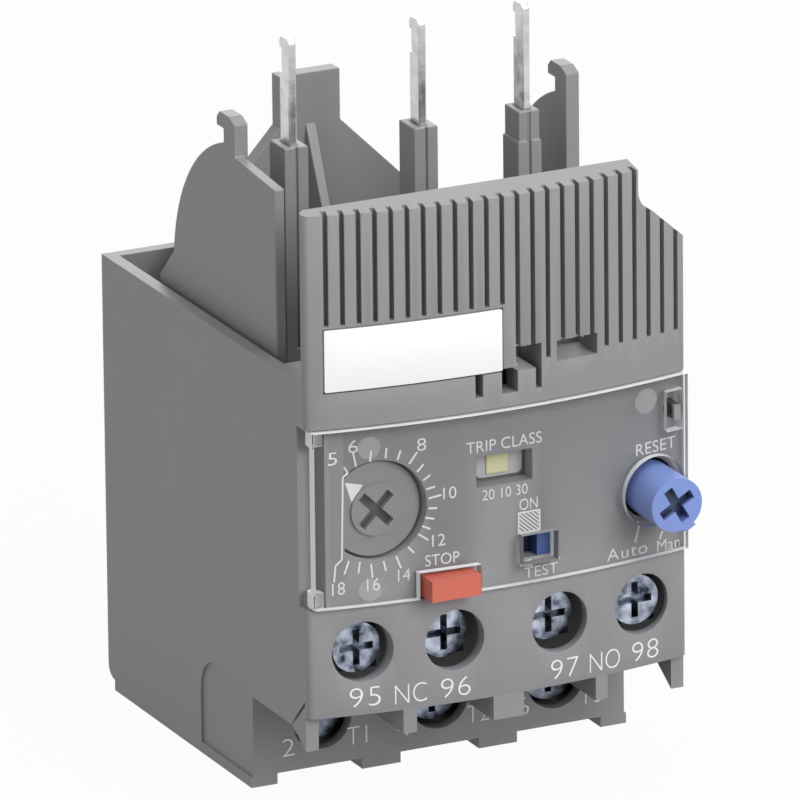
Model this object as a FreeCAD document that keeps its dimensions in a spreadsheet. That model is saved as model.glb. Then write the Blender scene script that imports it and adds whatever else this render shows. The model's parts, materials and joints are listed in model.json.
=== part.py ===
import FreeCAD, Part
import os
import re
import Sketcher
from FreeCAD import Vector

doc = FreeCAD.newDocument("OverloadRelay")

# Driving dimensions in millimetres
# X runs left to right, the front faces -Y, Z is up from the feet
sizes = {
    # Envelope: the front edge line, its bow, and the reset button in front of it
    "bodyWidth": 45.0,
    "bodyDepth": 51.4,
    "wallTop": 49.8,
    "resetReach": 6.6,
    "bow": 2.4,
    "wall": 1.5,
    "fitGap": 0.15,
    # Rear housing
    "termSet": 14.7,
    "termWallTop": 12.4,
    "floorRise": 1.2,
    "floorThick": 1.8,
    "wingBottom": 10.6,
    "wingChamfer": 1.8,
    "outerFootWidth": 3.1,
    "innerFootWidth": 4.6,
    "rearRound": 1.6,
    "reliefDepth": 0.25,
    "reliefLength": 12.7,
    "reliefTop": 11.4,
    "reliefCorner": 4.0,
    # Main terminals
    "polePitch": 14.0,
    "mainScrewHeight": 6.6,
    "mainWellRadius": 3.5,
    "mainHeadRadius": 3.0,
    "mainHeadThick": 2.2,
    "mainHeadGap": 0.4,
    "mainShankRadius": 1.75,
    "mainShankLength": 6.6,
    "mainClampWidth": 8.0,
    "mainClampHeight": 6.8,
    "mainClampThick": 1.4,
    "mainClampTravel": 2.2,
    "clampStop": 0.4,
    "mainPlateThick": 1.2,
    "mainPlateWidth": 7.2,
    "mainPlateTop": 12.0,
    "mainEntryWidth": 8.0,
    "mainEntryDepth": 7.0,
    "barrierThick": 1.5,
    "barrierHeight": 12.85,
    "barrierDepth": 12.0,
    # Conductors and blade pins
    "pinSet": 21.6,
    "outerPinIn": 7.15,
    "middlePinX": 1.5,
    "pinTop": 81.4,
    "pinThick": 0.9,
    "pinWidth": 2.3,
    "pinHeadHeight": 1.4,
    "pinNotchLength": 2.6,
    "pinNotchDepth": 0.5,
    "barWidth": 5.0,
    "barGap": 0.6,
    "barBottom": 10.9,
    # Top carrier
    "deckTop": 45.0,
    "deckThick": 2.0,
    "shelfRise": 4.5,
    "shelfBack": 9.2,
    "riserThick": 1.2,
    "finSet": 2.0,
    "finThick": 1.1,
    "finFront": 11.1,
    "finFrontTop": 68.2,
    "hookFront": 21.1,
    "hookSlopeTop": 69.0,
    "hookDepth": 2.75,
    "hookThick": 1.6,
    "hookTop": 73.2,
    "hookFall": 0.6,
    "noseReach": 1.7,
    "noseHeight": 1.7,
    "noseBevel": 0.7,
    "finBackTop": 70.3,
    "finBackRound": 18.2,
    "finBackDepth": 37.0,
    "finFoot": 40.6,
    "finFootRise": 5.4,
    "postWidth": 2.75,
    "postDepth": 3.8,
    "postTop": 69.6,
    "postStep": 66.2,
    "postStepIn": 0.15,
    "postSlit": 0.3,
    "postSlitDepth": 0.3,
    "towerGap": 5.2,
    "towerThick": 1.8,
    "towerTop": 69.2,
    "towerX": -0.6,
    "towerHalfWidth": 3.65,
    "towerShoulder": 63.4,
    "towerFootHalf": 17.0,
    "ribThick": 1.0,
    "ribReach": 6.4,
    # Front housing
    "slabThick": 2.8,
    "panelTop": 69.0,
    "panelBack": 1.5,
    "panelCorner": 0.8,
    "panelBevel": 0.6,
    "topSlope": 10.0,
    "auxBottom": 12.5,
    "auxTop": 24.6,
    "auxRoofThick": 1.2,
    "auxDepth": 14.3,
    "auxScrewHeight": 19.6,
    "auxWellRadius": 3.4,
    "auxFrontWall": 1.3,
    "dividerThick": 1.5,
    "centreDividerThick": 3.6,
    "dividerBottom": 9.8,
    "skirtBottom": 8.6,
    "skirtHeel": 1.3,
    "slitWidth": 0.5,
    "slitDepth": 0.4,
    "coverBottom": 24.7,
    "coverTop": 44.9,
    "panelSet": 1.0,
    "panelThick": 1.8,
    "chamberTop": 48.0,
    "hingeGrooveWidth": 2.05,
    "hingeGrooveDepth": 2.2,
    "cutIn": 6.1,
    "cutDrop": 2.8,
    "cutRadius": 2.6,
    "cutFootIn": 4.4,
    "cutFootZ": 63.7,
    "cutEndZ": 59.8,
    "grooveCount": 12,
    "grooveSide": 2.24,
    "grooveFirst": 0.35,
    "grooveWidth": 0.56,
    "grooveDepth": 1.1,
    "grooveFoot": 49.6,
    "labelIn": 2.1,
    "labelRight": 0.45,
    "labelBottom": 49.0,
    "labelTop": 55.9,
    "labelThick": 0.7,
    "labelProud": 0.1,
    "latchWindowLeft": 6.1,
    "latchWindowRight": 11.1,
    "latchWindowBottom": 49.0,
    "latchWindowTop": 51.3,
    "latchSlotTop": 49.2,
    "latchSlotBottom": 46.4,
    "latchSlotX": -3.15,
    "latchSlotWidth": 0.9,
    "latchGapLeft": -0.5,
    "latchGapRight": 1.4,
    "latchEdgeLeft": 3.55,
    "latchEdgeRight": 4.25,
    "latchNookTop": 51.4,
    "latchTabTop": 48.7,
    # Clear cover
    "coverProud": 0.7,
    "coverThick": 1.2,
    "coverGap": 0.2,
    "coverInLeft": 0.6,
    "coverInRight": 0.1,
    "hingeIn": 1.2,
    "hingeSet": 0.9,
    "hingePinRadius": 0.6,
    "hingePinLength": 1.3,
    "hingeRunGap": 0.05,
    "hingeLugRadius": 0.72,
    "hingeLugHeight": 1.7,
    "sealIn": 0.8,
    "sealWidth": 2.1,
    "sealBottom": 38.6,
    "sealTop": 43.1,
    "sealTabThick": 0.8,
    "sealTabReach": 2.6,
    "sealEyeRadius": 0.7,
    # Setting dial and trimmer
    "dialIn": 8.0,
    "dialZ": 35.1,
    "dialRest": 45.0,
    "dialRadius": 5.25,
    "dialHoleGap": 0.3,
    "dialFront": 0.15,
    "dialThick": 1.9,
    "dialHubRadius": 2.9,
    "dialHubHeight": 0.35,
    "dialSlotWidth": 1.0,
    "dialSlotDepth": 0.9,
    "dialStemRadius": 1.5,
    "dialStemEnd": 7.0,
    "trimmerFront": 4.8,
    "trimmerSide": 7.0,
    "runGap": 0.06,
    # Trip class switch
    "classX": 0.05,
    "classZ": 37.8,
    "classWindowWidth": 6.6,
    "classWindowHeight": 3.5,
    "classKnobWidth": 2.6,
    "classKnobHeight": 2.2,
    "classTravel": 1.6,
    "classFaceSet": 0.9,
    "classKnobBack": 2.6,
    "classKnobProud": 0.9,
    "classBodyWidth": 9.4,
    "classBodyHeight": 5.2,
    # Test slide
    "testLeft": 1.75,
    "testRight": 5.6,
    "testBottom": 27.2,
    "testTop": 30.1,
    "testPlateLeft": -2.6,
    "testPlateRight": 7.2,
    "testPlateThick": 1.0,
    "testFingerWidth": 1.5,
    "testTravel": 1.4,
    "testForkReach": 0.8,
    "testForkGap": 0.3,
    "testForkThick": 0.8,
    "testPlateMargin": 0.9,
    "testSpringLength": 4.4,
    "testSeatThick": 0.8,
    "testSeatSide": 1.8,
    # Stop button
    "stopLeft": -10.05,
    "stopRight": -4.3,
    "stopBottom": 25.15,
    "stopTop": 27.5,
    "stopFront": -4.7,
    "stopBack": 3.0,
    "stopTravel": 1.5,
    "stopHoleGap": 0.2,
    "stopSwingGap": 0.9,
    "stopSpringX": -8.9,
    "stopBore": 0.95,
    "stopSpringBore": 4.0,
    "stopSeatGap": 0.8,
    "stopSeatThick": 0.8,
    "stopSeatWidth": 2.6,
    "stopSeatTop": 28.0,
    "springStrip": 0.3,
    "springReach": 0.55,
    "springHeight": 1.2,
    "springLegs": 8,
    # Reset button and selector ring
    "resetIn": 4.4,
    "resetZ": 32.25,
    "resetRadius": 3.0,
    "resetHoleRadius": 3.3,
    "resetCoverRadius": 3.95,
    "resetShoulder": 0.4,
    "resetStemRadius": 1.9,
    "resetStemEnd": 8.6,
    "resetTravel": 2.2,
    "selectorTurn": 60.0,
    "resetSlotWidth": 1.1,
    "resetSlotLength": 4.2,
    "resetSlotDepth": 1.4,
    "resetBore": 1.1,
    "resetBoreDepth": 4.0,
    "resetKeyWidth": 0.8,
    "resetKeyOut": 0.35,
    "resetNubOut": 0.3,
    "resetNubWidth": 1.3,
    "ringFront": 3.1,
    "ringThick": 2.2,
    "ringRadius": 2.75,
    "resetSeatGap": 1.4,
    "resetSeatSide": 3.4,
    # Inner frame, board and parts on it
    "frameSet": 15.0,
    "frameThick": 1.4,
    "trayThick": 1.4,
    "trayBack": 28.0,
    "trayGap": 0.35,
    "boardSet": 10.0,
    "boardThick": 1.6,
    "boardIn": 0.7,
    "boardResetGap": 5.3,
    "boardBottom": 31.5,
    "boardTop": 42.5,
    "standoffHalf": 1.4,
    "chipSide": 8.0,
    "chipThick": 1.2,
    "chipX": -7.5,
    "chipZ": 37.0,
    "capRadius": 3.1,
    "capLength": 6.6,
    "capIn": 4.2,
    "capZ": 36.8,
    # Current transformers
    "ctOuterHalf": 5.0,
    "ctInnerHalf": 2.85,
    "ctHeight": 9.0,
    "ctGap": 0.8,
    "ctWall": 0.55,
    # Auxiliary terminals
    "auxHeadFront": 0.6,
    "auxHeadRadius": 2.8,
    "auxHeadThick": 2.0,
    "auxShankRadius": 1.5,
    "auxShankLength": 6.0,
    "auxClampGap": 1.1,
    "auxClampHeight": 6.6,
    "auxClampThick": 1.2,
    "auxClampTravel": 2.1,
    "auxPlateThick": 1.0,
    "auxPlateGap": 0.5,
    "auxPlateBottom": 15.6,
    "auxPlateTop": 23.0,
    "auxArmWidth": 2.4,
    "auxArmTop": 29.3,
    "headGap": 0.1,
    "recessWidth": 0.8,
    "recessDepth": 1.0,
    # Contact rocker and trip magnet
    "rockerBottom": 26.6,
    "rockerTop": 29.6,
    "rockerThick": 1.6,
    "rockerHub": 2.1,
    "rockerArm": 17.2,
    "rockerNose": 6.4,
    "rockerNoseWidth": 1.5,
    "contactGap": 0.2,
    "bridgeThick": 1.0,
    "bridgeHeight": 2.0,
    "bridgeOver": 0.9,
    "pivotRadius": 1.0,
    "pivotLug": 2.2,
    "pivotLugThick": 1.1,
    "pivotLugGap": 0.3,
    "coilX": 7.7,
    "coilZ": 27.7,
    "coilHalf": 3.1,
    "coilFlange": 0.8,
    "coilSet": 0.4,
    "coilLength": 10.6,
    "coilTube": 0.5,
    "coilWireGap": 0.2,
    "plungerRadius": 1.2,
    "plungerLength": 8.2,
    "plungerGap": 0.3,
    "yokeThick": 0.7,
    "yokeWidth": 5.6,
}

def bowAt(x, inset="0"):
    # Y of the bowed front at this X, set back by the inset
    return "(bowCentre - sqrt((bowRadius - (%s))^2 - (%s)^2))" % (inset, x)


# Places worked out from the driving dimensions
derived = {
    "halfWidth": "bodyWidth / 2",
    "innerHalf": "halfWidth - wall",
    "front": "-(bodyDepth - resetReach) / 2",
    "rear": "front + bodyDepth",
    "partY": "front + slabThick",
    "termY": "front + termSet",
    "floorTop": "floorRise + floorThick",
    "bowRadius": "(halfWidth^2 + bow^2) / (2 * bow)",
    "bowCentre": "front - bow + bowRadius",
    "pinY": "front + pinSet",
    "outerPinX": "innerHalf - outerPinIn",
    "barTop": "deckTop - deckThick - barGap",
    "shelfTop": "deckTop + shelfRise",
    "finFootTop": "deckTop + finFootRise",
    "towerY": "rear - towerGap - towerThick",
    "mainHeadFront": "termY + wall + mainHeadGap",
    "mainClampFront": "mainHeadFront + mainHeadThick + headGap",
    "mainPlateFront": "mainClampFront + mainClampThick + mainClampTravel + clampStop",
    "entryFront": "mainClampFront - headGap",
    "dividerX": "(innerHalf + centreDividerThick / 2) / 2",
    "auxCell": "innerHalf - dividerX - dividerThick / 2",
    "auxOuterX": "innerHalf - auxCell / 2",
    "auxInnerX": "(centreDividerThick + auxCell) / 2",
    "auxPlateWidth": "auxCell - 2 * auxPlateGap",
    "auxClampWidth": "auxCell - 2 * auxClampGap",
    "auxHeadY": "front + auxHeadFront",
    "auxClampFront": "auxHeadY + auxHeadThick + headGap",
    "auxPlateFront": "auxClampFront + auxClampThick + auxClampTravel + clampStop",
    "auxPlateBack": "auxPlateFront + auxPlateThick",
    "bridgeFront": "auxPlateBack + contactGap",
    "pivotY": "bridgeFront + bridgeThick + rockerThick / 2",
    "noseY": "pivotY - rockerNose",
    "frameY": "front + frameSet",
    "frameBack": "frameY + frameThick",
    "frameBottom": "barrierHeight + fitGap",
    "frameTop": "deckTop - deckThick - fitGap",
    "trayBottom": "deckTop - deckThick - ctGap - ctHeight - trayThick",
    "trayTop": "trayBottom + trayThick",
    "boardLeft": "boardIn - innerHalf",
    "boardRight": "resetX - boardResetGap",
    "capX": "boardRight - capIn",
    "boardY": "front + boardSet",
    "boardBack": "boardY + boardThick",
    "carrierHalf": "innerHalf - fitGap",
    "finOuter": "halfWidth - finSet",
    "cutStart": "halfWidth - cutIn",
    "cutFootX": "halfWidth - cutFootIn",
    "groovePitch": "(halfWidth - grooveSide - grooveFirst) / (grooveCount - 1)",
    "labelLeft": "halfWidth - labelIn",
    "coverLeft": "halfWidth - coverInLeft",
    "coverRight": "halfWidth - coverInRight",
    "hingeX": "halfWidth - hingeIn",
    "hingeY": "front + hingeSet",
    "sealRight": "halfWidth - sealIn",
    "sealLeft": "sealRight - sealWidth",
    "dialX": "dialIn - halfWidth",
    "resetX": "halfWidth - resetIn",
    "resetSeatFront": "resetStemEnd + resetTravel + resetSeatGap",
    "stopSeat": "stopBack + stopTravel + stopSeatGap",
    "classFace": bowAt("classX", "panelSet + panelThick") + " + classFaceSet",
    "tripAngle": "testTravel / rockerNose",
    "testPlateY": bowAt("testPlateRight", "panelSet + panelThick") + " + runGap",
    "testSpringY": "testPlateY + testPlateThick / 2",
}

sheet = doc.addObject("Spreadsheet::Sheet", "Sizes")
for row, (alias, value) in enumerate(sizes.items(), start=1):
    sheet.set("A%d" % row, alias)
    sheet.set("B%d" % row, str(value))
    sheet.setAlias("B%d" % row, alias)
doc.recompute()


def ref(text):
    # Spell out a size, or a place worked out from sizes, as a sheet expression
    def word(match):
        name = match.group(0)
        if name in derived:
            return "(" + ref(derived[name]) + ")"
        return "Sizes." + name if name in sizes else name
    return re.sub(r"[A-Za-z_]\w*", word, str(text))


def val(text):
    result = sheet.evalExpression(ref(text))
    return float(getattr(result, "Value", result))


def newBody(label):
    body = doc.addObject("PartDesign::Body", label)
    body.Label = label
    return body


def originPlane(body, plane):
    return [item for item in body.Origin.OriginFeatures if item.Role == plane + "_Plane"][0]


def newSketch(body, name, plane, level, at=("0", "0"), turn=None):
    sketch = body.newObject("Sketcher::SketchObject", name)
    sketch.AttachmentSupport = [(originPlane(body, plane), "")]
    sketch.MapMode = "FlatFace"
    normal = "-(%s)" % level if plane == "XZ" else level
    for axis, text in zip("xyz", (at[0], at[1], normal)):
        sketch.setExpression("AttachmentOffset.Base." + axis, ref(text))
    if turn:
        sketch.AttachmentOffset = FreeCAD.Placement(Vector(), FreeCAD.Rotation(Vector(0, 0, 1), 1))
        sketch.setExpression("AttachmentOffset.Rotation.Angle", ref("(%s) * 1 deg" % turn))
    return sketch


def bind(sketch, kind, geometry, text):
    number = sketch.addConstraint(Sketcher.Constraint(kind, *geometry, val(text)))
    sketch.setExpression("Constraints[%d]" % number, ref(text))


def drawCircle(sketch, u, v, radius):
    circle = Part.Circle(Vector(val(u), val(v), 0), Vector(0, 0, 1), val(radius))
    index = sketch.addGeometry(circle)
    bind(sketch, "DistanceX", (-1, 1, index, 3), u)
    bind(sketch, "DistanceY", (-1, 1, index, 3), v)
    bind(sketch, "Radius", (index,), radius)


def drawLoop(sketch, points):
    # A point (u, v) starts a straight edge, (u, v, radius, side) an arc that bulges
    # to the left of travel for side 1 and to the right for side -1
    places = [Vector(val(point[0]), val(point[1]), 0) for point in points]
    edges = []
    for index, point in enumerate(points):
        start, end = places[index], places[(index + 1) % len(places)]
        if len(point) == 2:
            number = sketch.addGeometry(Part.LineSegment(start, end))
            edges.append((number, 1, 2))
            continue
        radius = val(point[2])
        chord = end - start
        rise = radius - max(radius ** 2 - chord.Length ** 2 / 4, 0) ** 0.5
        left = Vector(-chord.y, chord.x, 0).normalize()
        number = sketch.addGeometry(Part.Arc(start, (start + end) / 2 + left * rise * point[3], end))
        first = (sketch.getPoint(number, 1) - start).Length < 1e-6
        edges.append((number, 1, 2) if first else (number, 2, 1))
    for index, (number, _, last) in enumerate(edges):
        following = edges[(index + 1) % len(edges)]
        sketch.addConstraint(Sketcher.Constraint("Coincident", number, last, following[0], following[1]))
    for index, (point, (number, first, _)) in enumerate(zip(points, edges)):
        bind(sketch, "DistanceX", (-1, 1, number, first), point[0])
        bind(sketch, "DistanceY", (-1, 1, number, first), point[1])
        if len(point) == 2:
            continue
        following = points[(index + 1) % len(points)]
        chord = places[(index + 1) % len(places)] - places[index]
        if chord.Length < 1.999 * val(point[2]):
            bind(sketch, "Radius", (number,), point[2])
        elif abs(chord.x) > abs(chord.y):
            bind(sketch, "DistanceY", (-1, 1, number, 3), "((%s) + (%s)) / 2" % (point[1], following[1]))
        else:
            bind(sketch, "DistanceX", (-1, 1, number, 3), "((%s) + (%s)) / 2" % (point[0], following[0]))


def draw(sketch, loops):
    for loop in loops:
        if isinstance(loop, tuple):
            drawCircle(sketch, *loop)
        else:
            drawLoop(sketch, loop)


def settle(body, feature, before, cut):
    # A feature that adds or removes nothing points the wrong way
    doc.recompute()
    change = body.Shape.Volume - before
    if (change >= -1e-6) if cut else (change <= 1e-6):
        raise RuntimeError("%s changes nothing" % feature.Label)
    return feature


def volume(body):
    return 0.0 if body.Shape.isNull() else body.Shape.Volume


def prism(body, name, plane, low, high, *loops, cut=False):
    # Straight block or cut between two levels of the plane's own axis
    before = volume(body)
    start = high if (plane == "XZ") != cut else low
    sketch = newSketch(body, name + "Sketch", plane, start)
    draw(sketch, loops)
    feature = body.newObject("PartDesign::Pocket" if cut else "PartDesign::Pad", name)
    feature.Profile = sketch
    feature.setExpression("Length", ref("(%s) - (%s)" % (high, low)))
    return settle(body, feature, before, cut)


def turned(body, name, axis, at, loop, cut=False):
    # Round form about a line along Y through (x, z), or along Z through (x, y)
    before = volume(body)
    plane, level = ("XY", at[1]) if axis == "Y" else ("XZ", at[1])
    sketch = newSketch(body, name + "Sketch", plane, level, (at[0], "0"))
    draw(sketch, [loop])
    kind = "PartDesign::Groove" if cut else "PartDesign::Revolution"
    feature = body.newObject(kind, name)
    feature.Profile = sketch
    feature.ReferenceAxis = (sketch, ["V_Axis"])
    feature.Angle = 360.0
    return settle(body, feature, before, cut)


def rect(left, right, low, high):
    return [(left, low), (right, low), (right, high), (left, high)]


def around(u, v, width, height):
    return rect("(%s) - (%s) / 2" % (u, width), "(%s) + (%s) / 2" % (u, width),
                "(%s) - (%s) / 2" % (v, height), "(%s) + (%s) / 2" % (v, height))


def bowBand(left, right, outer, inner):
    # Plan of a bowed strip between two insets from the front's bow
    return [(left, bowAt(left, inner)), (left, bowAt(left, outer), "bowRadius - (%s)" % outer, -1),
            (right, bowAt(right, outer)), (right, bowAt(right, inner), "bowRadius - (%s)" % inner, 1)]


def roundEdges(body, name, radius, wanted):
    base = body.Tip
    names = ["Edge%d" % (i + 1) for i, edge in enumerate(base.Shape.Edges) if wanted(edge)]
    feature = body.newObject("PartDesign::Fillet", name)
    feature.Base = (base, names)
    feature.setExpression("Radius", ref(radius))
    doc.recompute()
    return feature


def uprightAt(x, y):
    # Picks the vertical edges that stand at this X, on either side, and this Y
    def wanted(edge):
        first, last = edge.Vertexes[0].Point, edge.Vertexes[-1].Point
        upright = abs(first.x - last.x) < 1e-4 and abs(first.y - last.y) < 1e-4
        return upright and abs(abs(first.x) - val(x)) < 1e-4 and abs(first.y - val(y)) < 1e-4
    return wanted


def crossLoop(u, v, width, length):
    half, arm = "(%s) / 2" % width, "(%s) / 2" % length
    corners = [(half, half), (half, arm), ("-" + half, arm), ("-" + half, half),
               ("-" + arm, half), ("-" + arm, "-" + half), ("-" + half, "-" + half),
               ("-" + half, "-" + arm), (half, "-" + arm), (half, "-" + half),
               (arm, "-" + half), (arm, half)]
    return [("(%s) + (%s)" % (u, a), "(%s) + (%s)" % (v, b)) for a, b in corners]


poleX = {"1": "-polePitch", "2": "0", "3": "polePitch"}
pinX = {"1": "-outerPinX", "2": "middlePinX", "3": "outerPinX"}
auxX = {"95": "-auxOuterX", "96": "-auxInnerX", "97": "auxInnerX", "98": "auxOuterX"}


# Rear housing: open box with wings that reach forward to the front housing
def makeRearHousing():
    body = newBody("rear_housing")
    prism(body, "shell", "XY", "floorRise", "wallTop", rect("-halfWidth", "halfWidth", "termY", "rear"))
    roundEdges(body, "rearEdge", "rearRound", lambda edge: all(
        abs(v.Point.y - val("rear")) < 1e-4 and abs(v.Point.z - val("floorRise")) < 1e-4
        for v in edge.Vertexes))
    prism(body, "inside", "XY", "floorTop", "wallTop",
          rect("-innerHalf", "innerHalf", "termY + wall", "rear - wall"), cut=True)
    prism(body, "opening", "XZ", "termY", "termY + wall",
          rect("-innerHalf", "innerHalf", "termWallTop", "wallTop"), cut=True)
    wing = [("partY", "wingBottom + wingChamfer"), ("partY + wingChamfer", "wingBottom"),
            ("termY", "wingBottom"), ("termY", "wallTop"), ("partY", "wallTop")]
    prism(body, "leftWing", "YZ", "-halfWidth", "-innerHalf", wing)
    prism(body, "rightWing", "YZ", "innerHalf", "halfWidth", wing)
    for side, name in (("-1", "left"), ("1", "right")):
        prism(body, name + "Foot", "XY", "0", "floorRise",
              around(side + " * (halfWidth - outerFootWidth / 2)", "(termY + rear - rearRound) / 2",
                     "outerFootWidth", "rear - rearRound - termY"))
        prism(body, name + "InnerFoot", "XY", "0", "floorRise",
              around(side + " * polePitch / 2", "(termY + rear - rearRound) / 2",
                     "innerFootWidth", "rear - rearRound - termY"))
        prism(body, name + "Barrier", "XY", "floorTop", "barrierHeight",
              around(side + " * polePitch / 2", "termY + wall + barrierDepth / 2",
                     "barrierThick", "barrierDepth"))
    wells = [(x, "mainScrewHeight", "mainWellRadius") for x in poleX.values()]
    prism(body, "wells", "XZ", "termY", "termY + wall", *wells, cut=True)
    entries = [around(x, "entryFront + mainEntryDepth / 2", "mainEntryWidth", "mainEntryDepth")
               for x in poleX.values()]
    prism(body, "wireEntries", "XY", "floorRise", "floorTop", *entries, cut=True)
    relief = [("termY", "floorRise"), ("termY + reliefLength", "floorRise"),
              ("termY + reliefLength", "reliefTop - reliefCorner", "reliefCorner", -1),
              ("termY + reliefLength - reliefCorner", "reliefTop"), ("termY", "reliefTop")]
    prism(body, "leftRelief", "YZ", "-halfWidth", "-halfWidth + reliefDepth", relief, cut=True)
    prism(body, "rightRelief", "YZ", "halfWidth - reliefDepth", "halfWidth", relief, cut=True)
    return body


# Top carrier: deck inside the housing's mouth, pin posts, hooked fins and the rear support plate
def makeTopCarrier():
    body = newBody("top_carrier")
    deckBottom = "deckTop - deckThick"
    deckBack = "rear - wall - fitGap"
    shelfFront, shelfRear = "partY + fitGap", "front + shelfBack"
    riserFront = shelfRear + " - riserThick"
    profile = [(riserFront, deckBottom), (deckBack, deckBottom), (deckBack, "deckTop"),
               (shelfRear, "deckTop"), (shelfRear, "shelfTop"), (shelfFront, "shelfTop"),
               (shelfFront, "shelfTop - riserThick"), (riserFront, "shelfTop - riserThick")]
    prism(body, "deck", "YZ", "-carrierHalf", "carrierHalf", profile)
    foot, back, stalk = "front + finFoot", "front + finBackDepth", "front + hookFront"
    behindHook = [(foot, "deckTop"), (foot, "finFootTop"),
                  (back, "finFootTop + (finFoot - finBackDepth)", "finBackRound", -1),
                  (stalk + " + hookDepth / 2", "finBackTop"), (stalk, "hookSlopeTop")]
    prism(body, "leftFin", "YZ", "-finOuter", "-finOuter + finThick",
          [("front + finFront", "deckTop"), *behindHook, ("front + finFront", "finFrontTop")])
    prism(body, "rightFin", "YZ", "finOuter - finThick", "finOuter", [(stalk, "deckTop"), *behindHook])
    heel, nose = stalk + " + hookDepth", stalk + " + hookDepth + noseReach"
    hook = [(stalk, "deckTop"), (heel, "deckTop"), (heel, "hookTop - noseHeight"),
            (nose, "hookTop - noseHeight"), (nose, "hookTop - noseBevel"),
            (nose + " - noseBevel", "hookTop"), (stalk + " + hookDepth / 2", "hookTop"),
            (stalk, "hookTop - hookFall")]
    prism(body, "leftHook", "YZ", "-finOuter", "-finOuter + hookThick", hook)
    prism(body, "rightHook", "YZ", "finOuter - hookThick", "finOuter", hook)
    for pole, x in pinX.items():
        post = around(x, "pinY", "postWidth", "postDepth")
        prism(body, "post" + pole, "XY", "deckTop", "postStep", post)
        if pole == "3":
            post = around(x, "pinY", "postWidth - 2 * postStepIn", "postDepth - 2 * postStepIn")
        prism(body, "postHead" + pole, "XY", "postStep", "postTop", post)
        prism(body, "postSlit" + pole, "XY", "deckTop + deckThick", "postTop",
              around(x, "pinY - postDepth / 2", "postSlit", "2 * postSlitDepth"), cut=True)
        prism(body, "pinSlot" + pole, "XY", deckBottom, "postTop",
              around(x, "pinY", "pinThick + 2 * runGap", "pinWidth + 2 * runGap"), cut=True)
    towerLeft, towerRight = "towerX - towerHalfWidth", "towerX + towerHalfWidth"
    tower = [("-towerFootHalf", "deckTop"), ("towerFootHalf", "deckTop"), ("towerFootHalf", "shelfTop"),
             (towerRight, "towerShoulder"), (towerRight, "towerTop"), (towerLeft, "towerTop"),
             (towerLeft, "towerShoulder"), ("-towerFootHalf", "shelfTop")]
    prism(body, "tower", "XZ", "towerY", "towerY + towerThick", tower)
    rib = [("towerY - ribReach", "deckTop"), ("towerY", "deckTop"),
           ("towerY", "towerShoulder"), ("towerY - ribReach", "shelfTop")]
    prism(body, "towerRib", "YZ", "towerX - ribThick / 2", "towerX + ribThick / 2", rib)
    return body


# Front housing: bowed, grooved front with the dial panel and the auxiliary terminal block
def makeFrontHousing():
    body = newBody("front_housing")
    past = "halfWidth + wall"
    slab = [("-halfWidth", "partY"), ("-halfWidth", "front", "bowRadius", -1),
            ("halfWidth", "front"), ("halfWidth", "partY")]
    prism(body, "slab", "XY", "auxBottom", "wallTop", slab)
    back, bevel = "front + panelBack", "front + panelBack - panelBevel"
    upper = [("-halfWidth + panelBevel", back), ("-halfWidth", bevel),
             ("-halfWidth", "front", "bowRadius", -1), ("halfWidth", "front"),
             ("halfWidth", bevel), ("halfWidth - panelBevel", back)]
    prism(body, "upperPanel", "XY", "wallTop", "panelTop", upper)
    roundEdges(body, "frontCorners", "panelCorner", uprightAt("halfWidth", "front"))
    corner = [("cutStart", "panelTop + wall"), ("cutStart", "panelTop - cutDrop", "cutRadius", -1),
              ("cutFootX", "cutFootZ"), ("halfWidth", "cutEndZ"), (past, "cutEndZ"),
              (past, "panelTop + wall")]
    prism(body, "topCorner", "XZ", "front - bow", back, corner, cut=True)
    ahead = "front - bow - wall"
    slope = [(back, "panelTop"), (ahead, "panelTop - (panelBack + bow + wall) * tan(topSlope * 1 deg)"),
             (ahead, "panelTop + wall"), (back, "panelTop + wall")]
    prism(body, "topSlope", "YZ", "-halfWidth", "halfWidth", slope, cut=True)
    heelTop = "wingBottom + wingChamfer - slitWidth"
    skirt = [("front + panelCorner", "skirtBottom"), ("partY + skirtHeel", heelTop + " - skirtHeel"),
             ("partY", heelTop), ("partY", "auxBottom"), ("front + panelCorner", "auxBottom")]
    prism(body, "leftSkirt", "YZ", "-halfWidth", "-innerHalf", skirt)
    prism(body, "rightSkirt", "YZ", "innerHalf", "halfWidth", skirt)
    slitFront = "front + panelCorner + fitGap"
    slitTop = "%s + partY - (%s)" % (heelTop, slitFront)
    slit = [(slitFront, slitTop), ("partY", heelTop), ("partY", heelTop + " + slitWidth"),
            (slitFront, slitTop + " + slitWidth")]
    prism(body, "leftSlit", "YZ", "-halfWidth", "-halfWidth + slitDepth", slit, cut=True)
    prism(body, "rightSlit", "YZ", "halfWidth - slitDepth", "halfWidth", slit, cut=True)
    inner = "panelSet + panelThick"
    chamber = [("-innerHalf", "partY"),
               ("-innerHalf", bowAt("innerHalf", inner), "bowRadius - (%s)" % inner, -1),
               ("innerHalf", bowAt("innerHalf", inner)), ("innerHalf", "partY")]
    prism(body, "chamber", "XY", "auxTop", "chamberTop", chamber, cut=True)
    makeTerminalBlock(body)
    prism(body, "stopSeatRib", "XY", "auxTop", "stopSeatTop",
          around("stopSpringX", "front + stopSeat + stopSeatThick / 2", "stopSeatWidth", "stopSeatThick"))
    seatX = "testPlateLeft - testSpringLength - testSeatThick / 2"
    seatFront = bowAt(seatX, "panelSet + panelThick / 2")
    prism(body, "testSeatRib", "XZ", seatFront, "testSpringY + testSeatSide / 2",
          around(seatX, "(testBottom + testTop) / 2", "testSeatThick", "testSeatSide"))
    cutPanel(body, past)
    cutLatch(body)
    firstLeft = "-(grooveFirst + groovePitch * (grooveCount - 1))"
    cutGrooves(body, "leftGrooves", firstLeft, "labelTop + fitGap + grooveWidth / 2")
    cutGrooves(body, "rightGrooves", "groovePitch - grooveFirst", "grooveFoot")
    return body


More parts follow.
